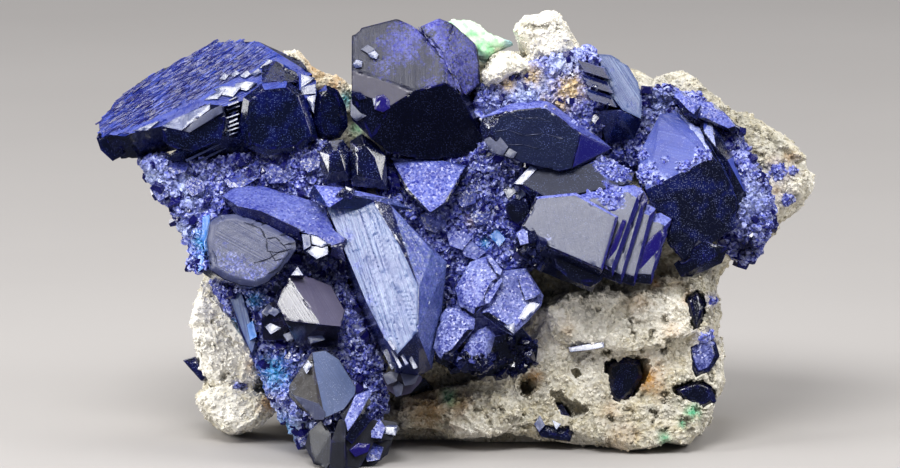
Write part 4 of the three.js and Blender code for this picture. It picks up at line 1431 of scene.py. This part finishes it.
CRYSTALS = (
    Crystal("stepped_blade", LAVENDER, (
        FaceGrowth(16, 4, 12, Habit.SATIN, (0.2, 1, 0)),
        FaceGrowth(10, -45, 30, Habit.THIN, (0.2, 1, 0), 0.06, 0.7),
        FaceGrowth(50, 0, 24, Habit.SUGARED)), dust=0.8, relief=0.012, chip=0.3, tufts=70, seed=2,
        overgrowth=grown_over((610, 196, 13, 1.0), (592, 188, 8, 0.8), (575, 186, 8, 0.6),
                              (548, 238, 6, 0.5))),
    Crystal("centre_blade", STEEL, (
        FaceGrowth(20, 6, 12, Habit.STRIATED, (52, 160, 0), 0.13, 0.9, 9.0),
        FaceGrowth(10, -55, 30, Habit.DUSTED, (52, 160, 0), 0.08, 0.9),
        FaceGrowth(60, 0, 30, Habit.SUGARED)), dust=0.9, fine=0.48, chip=0.4, seed=3,
        overgrowth=grown_over((340, 206, 16, 0.55), (349, 234, 12, 0.5), (358, 266, 12, 0.5),
                              (370, 300, 13, 0.5), (383, 332, 12, 0.5), (394, 354, 10, 0.5))),
    Crystal("left_round_blade", ROUND, (
        FaceGrowth(14, 3, 60, Habit.SATIN, (60, 45, 0)),
        FaceGrowth(14, 3, 12, Habit.BRUSHED, (60, 35, 0), 0.02, 0.4, 3.0)), relief=0.06, chip=0.5, seed=4,
        overgrowth=grown_over((236, 264, 30, 0.48), (256, 278, 30, 0.5), (285, 268, 16, 0.52),
                              (294, 236, 9, 0.45), (226, 244, 14, 0.4), (262, 232, 20, 0.3))),
    Crystal("lower_left_prism", PRISM, (
        FaceGrowth(35, -22, 14, Habit.SATIN, (0.3, 1, 0), 0.015, 0.8),
        FaceGrowth(20, 8, 10, Habit.GLINT, (0.6, 1, 0), 0.01, 1.5)), relief=0.015, dust=0.1, seed=5),
    Crystal("bottom_prism", GREY, (
        FaceGrowth(4, 5, 60, Habit.GLASSY),
        FaceGrowth(8, -22, 14, Habit.SATIN, (30, 40, 0))), dust=0.2, relief=0.05, chip=0.35, seed=6,
        overgrowth=grown_over((330, 372, 24, 0.3))),
    Crystal("bottom_spears", SPEAR, (FaceGrowth(10, 0, 50, Habit.DULL),), dust=0.2, seed=7),
    Crystal("glint_crystal", MIRROR, seed=8),
    Crystal("long_slab", SLAB, (
        FaceGrowth(45, 5, 40, Habit.FROSTED),
        FaceGrowth(-20, 0, 40, Habit.DULL)), slot="azurite_druse", relief=0.08, chip=0.5, seed=9),
    Crystal("centre_rosette", ROSETTE, (FaceGrowth(-55, 0, 45, Habit.GLASSY),), Habit.SUGARED, relief=0.1,
            chip=0.5, slot="azurite_druse", seed=10),
    Crystal("base_crystals", PRISM, (FaceGrowth(10, 0, 40, Habit.SATIN),), seed=11),
    Crystal("top_block", VEILED, (
        FaceGrowth(26, 2, 10, Habit.STRIATED, (0.05, 1, 0), 0.05, 1.0),
        FaceGrowth(8, 9, 9, Habit.VEILED, (0.05, 1, 0), 0.01, 1.0),
        FaceGrowth(10, -38, 14, Habit.DUSTED, (0.05, 1, 0), 0.05, 0.8)), dust=0.4, chip=0.4, seed=12,
        overgrowth=grown_over((402, 46, 34, 0.55), (415, 34, 18, 0.62), (440, 42, 26, 0.58),
                              (386, 68, 22, 0.45), (432, 22, 16, 0.75), (432, 84, 18, 0.48),
                              (460, 60, 34, 0.62))),
    Crystal("ledge_blade", RIPPLED, (
        FaceGrowth(2, 2, 16, Habit.DULL, (1, 0.12, 0)),
        FaceGrowth(0, -50, 25, Habit.THIN)), dust=0.8, chip=0.4, tufts=30, seed=13,
        overgrowth=grown_over((520, 118, 8, 0.6), (545, 112, 9, 0.7), (575, 122, 9, 0.7),
                              (592, 134, 7, 0.6))),
    Crystal("steel_plate", STEEL, (
        FaceGrowth(18, -28, 16, Habit.STRIATED, (40, 60, 0), 0.06, 0.7),), chip=0.4, seed=14,
        overgrowth=grown_over((612, 70, 8, 0.4), (632, 105, 8, 0.4))),
    Crystal("right_block", TABLE, (
        FaceGrowth(40, 5, 24, Habit.STRIATED, (60, 30, 0), 0.05, 0.8, 6.0),
        FaceGrowth(5, -60, 25, Habit.SATIN, (0.3, 1, 0), 0.05)), dust=0.8, chip=0.35, tufts=240, seed=15,
        overgrowth=grown_over((646, 172, 12, 1.0), (642, 155, 8, 0.9), (660, 182, 9, 0.9), (684, 168, 9, 0.9),
                              (700, 156, 9, 0.9), (664, 160, 7, 0.6))),
    Crystal("slate_blade", SLATE, (
        FaceGrowth(26, 2, 14, Habit.SATIN, (1, 0.1, 0), 0.03, 0.8),), tufts=140, seed=16,
        overgrowth=grown_over((612, 172, 12, 1.0), (600, 166, 8, 0.8), (626, 178, 9, 0.9),
                              (606, 184, 7, 0.6))),
    Crystal("upper_left_plate", PLATE, (
        FaceGrowth(38, 4, 12, Habit.STRIATED, (114, -75, 0), 0.12, 0.7, 4.0),), dust=0.3, chip=0.5, seed=17),
    Crystal("centre_plate", SUGARY, (FaceGrowth(30, 4, 30, Habit.SUGARED),), slot="azurite_druse", chip=0.4,
            seed=18),
    Crystal("edge_plate", STEEL, (FaceGrowth(6, 22, 20, Habit.STRIATED, (20, 70, 0), 0.06, 0.6),), seed=19),
    Crystal("right_foot_prism", DARK, (
        FaceGrowth(40, 10, 30, Habit.SATIN, (60, -20, 0), 0.05, 0.6),), seed=20),
    Crystal("right_shoulder_crystals", SUGARY, (FaceGrowth(25, 0, 40, Habit.SUGARED),), slot="azurite_druse",
            chip=0.4, seed=21),
    Crystal("inner_prisms", DARK, dust=0.2, seed=22),
    Crystal("vug_crystal", DARK, dust=0.1, seed=23),
    Crystal("side_pocket_crystal", DARK, dust=0.1, seed=24),
    Crystal("right_edge_crystal", DARK, (FaceGrowth(8, -14, 30, Habit.DUSTED),), seed=25),
    Crystal("right_base_crystal", DARK, dust=0.3, seed=26),
    Crystal("front_base_crystal", DARK, dust=0.3, seed=27),
    Crystal("left_edge_crystal", DARK, dust=0.3, seed=28),
)

PLATE_TEETH = (
    *row_of_plates((233, 98), (234, 133), 9, 11, 1.8, 4),
    Facet(((219, 79), (224, 73), (229, 75), (225, 80))),
    Facet(((229, 75), (236, 70), (240, 73), (234, 77)), 26, 2),
    Facet(((239, 76), (247, 70), (251, 74), (245, 78))),
    Facet(((250, 74), (258, 68), (261, 72), (255, 77)), 18, 10),
    Facet(((258, 68), (268, 59), (275, 61), (266, 67))),
    Facet(((133, 131), (150, 124), (160, 121), (148, 131)), 28, 6),
    Facet(((204, 100), (216, 91), (226, 89), (218, 99)), 26, 4),
    Facet(((213, 89), (222, 86), (241, 87), (233, 97), (221, 95)), 24, 8),
    Facet(((236, 83), (246, 81), (257, 83), (247, 91), (233, 88)), 26, 5),
    Facet(((163, 127), (176, 119), (211, 104), (211, 110), (183, 131)), 30, 6),
    Facet(((186, 160), (222, 142), (223, 143.5), (188, 162)), 22, 7, 5),
    Facet(((193, 163), (226, 147), (227, 148.5), (195, 165)), 22, 7, 5),
    Facet(((301, 74), (316, 78), (301, 88))), Facet(((301, 87), (316, 84), (316, 94), (300, 95)), 20, 12),
    Facet(((306, 97), (316, 95), (314, 114))),
)
BRIGHT_FACETS = (
    Facet(((513, 184), (530, 166), (537, 169), (522, 185)), 24, 4),
    Facet(((503, 190), (511, 184), (517, 192), (508, 199)), 20, 10),
    Facet(((514, 192), (522, 187), (526, 195), (517, 201))),
    Facet(((517, 318), (528, 301), (540, 303), (527, 320)), lift=2),
    Facet(((503, 325), (514, 322), (514, 334)), lift=2),
    Facet(((304, 366), (313, 354), (315, 363), (308, 373)), lift=2),
    Facet(((262, 312), (270, 303), (276, 308), (268, 316)), 18, 12),
    Facet(((266, 326), (275, 320), (283, 327), (272, 334))),
    Facet(((284, 334), (296, 329), (300, 336), (288, 341)), lift=6),
    Facet(((308, 336), (322, 332), (326, 339), (312, 343)), lift=6),
    Facet(((383, 432), (386, 423), (398, 424), (396, 434)), 20, 4),
    Facet(((353, 65), (357, 60), (363, 62), (362, 68), (356, 69)), 20, 6, 4, broken=1.6),
    Facet(((368, 54), (375, 51), (379, 55), (377, 60), (370, 58)), 20, 8, 5),
    Facet(((373, 99), (378, 98), (381, 102), (378, 107), (374, 106)), 20, 4, 6),
    Facet(((568, 347), (585, 344), (603, 341), (604, 347), (588, 350), (570, 352)), 20, 6, 5, broken=0.3),
    Facet(((534, 424), (540, 415), (545, 425), (539, 432)), 18, 10),
    Facet(((552, 420), (558, 411), (561, 424), (556, 430))),
    Facet(((303, 234), (311, 235), (312, 246), (305, 250)), 17, 12, 4),
    Facet(((312, 235), (318, 236), (330, 244), (323, 247), (313, 244)), 23, 6, 4, broken=0.3),
    Facet(((313, 246), (322, 249), (329, 246), (329, 254), (318, 259), (307, 251)), 22, 8, 4, broken=0.4),
    Facet(((292, 275), (299, 266), (305, 275)), lift=5),
    Facet(((272, 290), (280, 280), (284, 282), (277, 293)), 26, 6, 5),
    Facet(((268, 312), (273, 306), (283, 310), (276, 316)), 18, 10, 5),
    Facet(((383, 350), (387, 348), (396, 366), (392, 369)), 22, 6, 6),
    Facet(((391, 349), (394, 348), (403, 365), (400, 367)), 24, 4, 6),
    Facet(((399, 350), (402, 349), (409, 362), (406, 364)), 20, 8, 6),
    Facet(((406, 352), (410, 351), (418, 366), (414, 368)), 22, 6, 6),
    Facet(((388, 340), (391, 338), (397, 348), (394, 349)), 22, 6, 6),
)
GREY_FACETS = (
    Facet(((484, 140), (497, 134), (508, 147), (503, 156), (491, 153)), 10, 14, 1.5, 8, 0.4),
    Facet(((503, 156), (509, 148), (517, 153), (513, 159)), 16, 0, 1.5, 8),
    Facet(((474, 152), (484, 149), (492, 154), (486, 158)), 24, 6, 2, 8),
    *crack((494, 118), (510, 115), (523, 119), (538, 118), (549, 122), width=0.9),
    *crack((494, 132), (507, 130), (523, 136), (543, 134), (562, 139), width=0.8),
    *crack((507, 145), (523, 145), (538, 149), width=0.8),
    Facet(((183, 131), (211, 111), (222, 106), (224, 113), (191, 133)), 8, 12, 4),
    Facet(((383, 374), (391, 370), (399, 372), (397, 380), (388, 384)), 14, 12, 4, broken=2.0),
    Facet(((393, 386), (399, 380), (404, 384), (402, 394), (396, 396)), 8, 16, 4, broken=2.0),
    Facet(((401, 372), (410, 368), (420, 373), (415, 383), (405, 385)), 18, -6, 5, broken=2.0),
    Facet(((361, 50), (368, 45), (376, 50), (368, 54)), 26, 8, 4),
    Facet(((351, 100), (373, 113), (357, 122), (351, 116)), 12, 9, 2),
    Facet(((293, 393), (320, 402), (327, 411), (325, 418), (316, 418), (305, 405)), 2, 16, 3),
)
CRACKS = (
    *crack((262, 228), (268, 239), (277, 237), (285, 245), (297, 242), width=2.4),
    *crack((268, 239), (269, 251), (280, 252), (294, 248), width=2.0),
    *crack((256, 263), (271, 258), (280, 252), width=1.4),
    *crack((245, 222), (262, 228), (265, 222), width=1.2),
    *crack((271, 251), (277, 260), (286, 258), width=1.4),
    *crack((285, 245), (291, 252), (280, 268), (268, 274), width=1.2),
    *crack((277, 237), (288, 233), (296, 236), width=1.6),
)
AZURE_FACETS = (
    Facet(((489, 236), (497, 229), (506, 239), (499, 247)), 16, -2, 5),
    Facet(((204, 217), (211, 215), (212, 236), (207, 252), (203, 240)), 10, 20, 5),
    Facet(((199, 256), (206, 252), (205, 268), (200, 272)), 10, 25, 5),
    Facet(((248, 324), (254, 320), (258, 336), (251, 340)), 14, 16, 5),
)
DARK_FACETS = (
    *crack((485, 257), (495, 273), (500, 276), width=1.4, lift=4.5),
    *crack((484, 303), (484, 295), (491, 281), (501, 277), width=1.4, lift=4.5),
    *crack((517, 276), (524, 300), (537, 297), width=1.4, lift=4.5),
    Facet(((528, 231), (534, 230), (538, 238), (534, 243), (529, 243)), 4, -26, 5),
    Facet(((408, 391), (417, 383), (424, 378), (436, 393), (425, 400), (412, 398)), -6, -14, 5, broken=2.0),
    Facet(((346, 436), (362, 412), (374, 417), (353, 442)), 4, -20, 4),
    Facet(((352, 93), (360, 92), (367, 99), (360, 101)), -10, 10, 4),
    Facet(((505, 205), (515, 198), (528, 203), (530, 217), (518, 225), (507, 217)), 4, 4, 8),
    Facet(((336, 196), (346, 186), (356, 190), (352, 200)), 10, 10, 6),
    Facet(((552, 252), (572, 258), (590, 265), (604, 271), (600, 280), (590, 287), (572, 281), (556, 268)),
          4, 2, 5, 10, 2.0),
)
TOP_SEAM = crack((418, 27), (427, 38), (436, 48), (445, 60), (452, 75), (461, 93), width=5.0, lift=2.5)
VIOLET_FACETS = (
    Facet(((636, 268), (641, 252), (648, 239), (659, 230), (662, 236), (657, 254), (650, 271)),
          4, -9, 1.6, 8, 0.3),
    Facet(((603, 268), (608, 250), (616, 233), (621, 220), (625, 221), (619, 239), (612, 257), (608, 270)),
          4, -9, 1.6, 8, 0.3),
    Facet(((376, 97), (384, 95), (390, 101), (391, 109), (383, 113), (375, 110)), 4, -14, 4, broken=2.0),
    Facet(((350, 448), (359, 441), (371, 442), (369, 450), (356, 455)), -4, -14, 7, broken=2.0),
    Facet(((305, 412), (312, 408), (318, 414), (311, 419)), 30, 12, 6, broken=2.0),
    Facet(((352, 386), (360, 380), (366, 388), (358, 393)), 6, -16, 6, broken=2.0),
)
ROSETTE_BARS = (
    Facet(((486, 256), (491, 256), (502, 270), (500, 275), (495, 272)), 24, 0, 5, broken=0.4),
    Facet(((501, 277), (502, 281), (489, 303), (484, 303), (484, 296)), 18, 4, 5, broken=0.4),
    Facet(((517, 276), (527, 272), (540, 293), (535, 297), (525, 300)), 22, -8, 5, broken=0.4),
    Facet(((446, 232), (458, 226), (472, 238), (462, 250), (450, 246)), 26, 2, 7, broken=1.5),
    Facet(((460, 244), (470, 240), (486, 252), (476, 260), (464, 256)), 14, -12, 7, broken=1.5),
    Facet(((346, 418), (356, 394), (374, 388), (361, 412), (349, 429)), 20, -10, 7, broken=1.0),
    Facet(((371, 422), (380, 418), (386, 426), (382, 437), (372, 436)), 26, 2, 6, broken=2.0),
    Facet(((516, 233), (522, 229), (527, 231), (528, 243), (520, 245)), 8, 14, 6),
)
CRUST_PLATES = tuple(Facet(outline, up, left, 6, broken=3.0) for outline, up, left in (
    (((420, 215), (434, 207), (448, 214), (446, 226), (436, 233), (425, 229)), 22, -6),
    (((224, 180), (236, 171), (252, 172), (259, 178), (244, 187), (230, 188)), 34, 4),
    (((264, 175), (276, 165), (294, 166), (300, 174), (286, 183), (270, 184)), 20, -14),
    (((181, 186), (192, 176), (204, 181), (206, 190), (193, 197)), 16, 18),
    (((300, 162), (312, 154), (321, 159), (320, 168), (308, 173)), 28, -8),
    (((167, 168), (178, 159), (190, 164), (186, 172), (175, 175)), 40, 10),
    (((150, 188), (158, 180), (168, 186), (169, 196), (159, 202)), 10, 20),
    (((362, 446), (372, 440), (384, 446), (380, 458), (368, 460)), 30, -6),
    (((455, 197), (464, 189), (477, 192), (476, 203), (462, 208)), 30, -10),
    (((470, 215), (480, 207), (491, 212), (488, 223), (476, 227)), 14, 10),
    (((296, 430), (304, 424), (312, 434), (308, 446), (299, 442)), 20, 16),
))

SMALL_CRYSTALS = (
    SmallCrystals("plate_teeth", PLATE_TEETH, MIRROR, Habit.GLINT),
    SmallCrystals("bright_facets", BRIGHT_FACETS, MIRROR, Habit.GLINT),
    SmallCrystals("grey_facets", GREY_FACETS, LAVENDER, Habit.SATIN),
    SmallCrystals("round_blade_cracks", CRACKS, SLATE, Habit.SATIN),
    SmallCrystals("azure_crystals", AZURE_FACETS, AZURE, Habit.GLINT),
    SmallCrystals("dark_small_crystals", DARK_FACETS, DARK, dust=0.3),
    SmallCrystals("top_block_seam", TOP_SEAM, VEILED, Habit.DUSTED),
    SmallCrystals("violet_crystals", VIOLET_FACETS, VIOLET, Habit.THIN),
    SmallCrystals("sugary_ridges", ROSETTE_BARS, ROSETTE, Habit.SUGARED),
    SmallCrystals("crust_plates", CRUST_PLATES, SUGARY, Habit.DUSTED),
)


# Studio and growth in great number


@dataclass(frozen=True)
class SoftBox:
    """A soft box that faces the specimen."""

    name: str
    up: float  # degrees above the viewer's line
    left: float  # degrees to the viewer's left
    distance: float  # metres from the specimen
    wide: float  # metres across
    high: float  # metres from top to bottom
    watts: float

    def build(self) -> None:
        """Hangs the light."""
        light = bpy.data.lights.new(self.name, "AREA")
        light.shape = "RECTANGLE"
        light.size, light.size_y, light.energy = self.wide, self.high, self.watts
        lamp = bpy.data.objects.new(self.name, light)
        way = Vector(GRID.towards(self.up, self.left))
        lamp.location = Vector(HEART) + way * self.distance
        lamp.rotation_euler = way.to_track_quat("Z", "Y").to_euler()
        lamp.visible_camera = False
        bpy.context.scene.collection.objects.link(lamp)


HEART = (0.0, 0.0, 0.045)  # metres, the middle of the specimen, which the lights face
SOFT_BOXES = (
    SoftBox("key_softbox", 44, 12, 0.7, 0.36, 0.28, 5.2),
    SoftBox("overhead_softbox", 84, 0, 0.75, 0.6, 0.5, 2.0),
    SoftBox("right_softbox", 30, -62, 0.75, 0.3, 0.42, 3.0),
    SoftBox("left_softbox", 22, 66, 0.75, 0.26, 0.46, 4.8),
    SoftBox("rear_left_softbox", 40, 140, 0.9, 0.4, 0.4, 2.0),
    SoftBox("rear_right_softbox", 40, -140, 0.9, 0.4, 0.4, 2.0),
)


@dataclass
class Studio:
    """Pale paper, soft boxes and the camera, set round the specimen by degrees from the viewer."""

    middle: tuple[float, float, float] = (450.0, 234.0, 60.0)  # the grid place in the picture's middle
    distance: float = 2.0  # metres to the camera
    frame_width: float = 900.0  # grid columns across the picture
    paper: float = 3.0  # metres from the paper's middle to its edge
    curl_from: float = 2.2  # metres from the middle where the paper starts to curl up
    room: str = "#A9AFC4"
    room_strength: float = 0.15

    def build(self) -> None:
        """Makes the floor, the lights, the dim surroundings and the camera."""
        self._floor()
        for box in SOFT_BOXES:
            box.build()
        world = bpy.data.worlds.new("dim_studio_room")
        world.use_nodes = True
        background = world.node_tree.nodes["Background"]
        background.inputs["Color"].default_value = linear(self.room)
        background.inputs["Strength"].default_value = self.room_strength
        bpy.context.scene.world = world
        bpy.context.scene.view_settings.view_transform = "Standard"
        self._camera()

    def _floor(self) -> None:
        """Lays the sheet of paper that the specimen stands on, with its edges curled up a little."""
        bm = bmesh.new()
        bmesh.ops.create_grid(bm, x_segments=24, y_segments=24, size=self.paper)
        for v in bm.verts:
            v.co.z = -0.2 * MM + 0.02 * max(0.0, v.co.xy.length - self.curl_from) ** 2
        mesh = bpy.data.meshes.new("studio_paper")
        bm.to_mesh(mesh)
        bm.free()
        mesh.materials.append(PaperFinish().make())
        floor = bpy.data.objects.new("studio_paper", mesh)
        bpy.context.scene.collection.objects.link(floor)
        floor.visible_glossy = False  # dark flags round the table keep the paper out of the crystal faces

    def _camera(self) -> None:
        """Sets the camera on the viewer's line with a long lens."""
        data = bpy.data.cameras.new("viewer")
        data.sensor_width = 36.0
        data.lens = data.sensor_width * self.distance / (self.frame_width * GRID.step)
        data.clip_end = 20.0
        camera = bpy.data.objects.new("viewer", data)
        way = Vector(EYE)
        camera.location = Vector(GRID.place([self.middle])[0]) + way * self.distance
        camera.rotation_euler = way.to_track_quat("Z", "Y").to_euler()
        bpy.context.scene.collection.objects.link(camera)
        bpy.context.scene.camera = camera


def grow_scatter(sight: Sight, made: dict[str, bpy.types.Material], crust: bpy.types.Object,
                 rock: bpy.types.Object) -> None:
    """Grows the tiny crystals and grains that cover the crust, the rock and the striated plate.

    Args:
        sight: Tells what is in view.
        made: The finishes by name.
        crust: The dressed crust.
        rock: The dressed rock.
    """
    def shown(p: Array, n: Array) -> Array:
        """Grows on what faces the viewer."""
        return (n @ EYE > -0.3).astype(float)

    def facing(p: Array, n: Array) -> Array:
        """Grows on what looks well towards the viewer."""
        return ramp(n @ EYE, 0.1, 0.5)

    def on_crust(p: Array) -> dict[str, Array]:
        """Layers of the sugary finish, with the crust's stains and its painted shade spots."""
        return {"hollow": np.zeros(len(p))} | stained(p, CRUST_STAINS)

    def on_blue(p: Array) -> dict[str, Array]:
        """Layers of a glassy crystal with a little glow."""
        return {"thin": np.full(len(p), 0.3)}

    def on_black(p: Array) -> dict[str, Array]:
        """Layers of a glassy crystal too deep to glow."""
        return {"thin": np.full(len(p), 0.04)}

    def by_patches(p: Array, n: Array) -> Array:
        """Grows on the rock only in the blue patches."""
        return shown(p, n) * ramp(stained(p, ROCK_STAINS)["blue"], 0.25, 0.6)

    def underneath(p: Array, n: Array) -> Array:
        """Grows on the left end of what looks down."""
        at = GRID.read(p)
        return shown(p, n) * (n @ GRID.axes()[1] < -0.3) * (at[:, 0] < 548.0) * (at[:, 1] > 240.0)

    def at_foot(p: Array, n: Array) -> Array:
        """Grows on the lowest part of the rosette."""
        at = GRID.read(p)
        return shown(p, n) * (((at[:, 1] > 338.0) & (at[:, 0] > 502.0)) | (at[:, 1] > 353.0))

    run = GRID.along(114, -75, -28)

    def on_plate(p: Array, n: Array) -> Array:
        """Grows on the striated top of the plate, behind its front steps and short of its far end."""
        at = GRID.read(p)
        front = np.interp(at[:, 0], (100, 140, 200, 232, 262, 290), (136, 124, 97, 78, 64, 54))
        end = 44.0 + 0.42 * (at[:, 0] - 245.0)
        inside = (at[:, 1] < front) & (at[:, 1] > end)
        return ((n @ GRID.towards(38, 4) > 0.9) & inside).astype(float) * shown(p, n)

    def on_lath(p: Array) -> dict[str, Array]:
        """Layers of a striated lath, paler or darker by its own chance, and paler towards the upper right end
        of the plate.
        """
        side = np.cross(GRID.towards(38, 4), run)
        each = np.repeat(np.random.default_rng(5).random(len(p) // 10) ** 1.6, 10)
        at = GRID.read(p)
        each = each * (0.3 + 0.7 * ramp(swell(p, 5.0, 61, 2), -0.4, 0.4))
        each = np.minimum(1.0, each + 0.5 * ramp(at[:, 0] - 2.0 * at[:, 1], 100.0, 190.0))
        return {"satin": each, "stria": np.full(len(p), 0.5), "thin": 0.3 * (1.0 - each),
                "across": p @ side / MM}

    Scatter("crust_sugar_crystals", 6400, 0.5, 2.2).build(sight, crust, made[CRUST.name], shown, on_crust)
    Scatter("crust_dark_crystals", 420, 1.0, 3.2, 0.8, 0.8, 0.5, slot="azurite_crystal", seed=22).build(
        sight, crust, made[DARK.name], shown, on_blue)
    Scatter("blade_foot_crystals", 30, 0.8, 2.6, 0.9, 0.9, 0.6, slot="azurite_crystal", seed=26).build(
        sight, bpy.data.objects["stepped_blade_grown"], made[DARK.name], underneath, on_black)
    Scatter("rosette_foot_crystals", 130, 0.8, 2.8, 0.9, 0.9, 0.6, slot="azurite_crystal", seed=27).build(
        sight, bpy.data.objects["centre_rosette_grown"], made[DARK.name], at_foot, on_black)
    Scatter("rock_grains", 7600, 0.28, 0.8, 0.9, 0.9, 0.8, slot="matrix_rock", seed=23).build(
        sight, rock, made[ROCK.name], facing, rock_layers)
    Scatter("rock_azurite_patches", 260, 0.5, 1.7, seed=24).build(
        sight, rock, made[CRUST.name], by_patches, on_crust)
    plate = bpy.data.objects["upper_left_plate_grown"]
    Scatter("plate_laths", 2300, 0.7, 2.8, 0.08, 0.15, 0.09, run, "azurite_crystal", 25).build(
        sight, plate, made[PLATE.name], on_plate, on_lath)
    for crystal in CRYSTALS:
        def on_patches(p: Array, n: Array, places: tuple[Spot, ...] = crystal.overgrowth) -> Array:
            """Grows on the blue patches of a crystal."""
            return shown(p, n) * (n @ GRID.axes()[1] > 0.25) * ramp(stained(p, places)["blue"], 0.2, 0.9)

        if crystal.tufts:
            Scatter(f"{crystal.node}_overgrowth", crystal.tufts, 0.4, 1.5, seed=30 + crystal.seed).build(
                sight, bpy.data.objects[f"{crystal.node}_grown"], made[CRUST.name], on_patches, on_crust)


def main() -> None:
    """Builds the studio and the specimen, and reports each piece."""
    logging.basicConfig(level=logging.INFO, format="%(name)s %(message)s")
    Studio().build()
    sight = Sight()
    made = {f.name: f.make() for f in FINISHES}
    for crystal in CRYSTALS:
        crystal.build(sight, made[crystal.finish.name])
    crust = Druse().build(sight, made[CRUST.name])
    rock = Matrix().build(sight, made[ROCK.name])
    MalachitePatch().build(sight, made[MALACHITE.name])
    for small in SMALL_CRYSTALS:
        small.build(sight, made[small.finish.name])
    grow_scatter(sight, made, crust, rock)


if __name__ == "__main__":
    main()
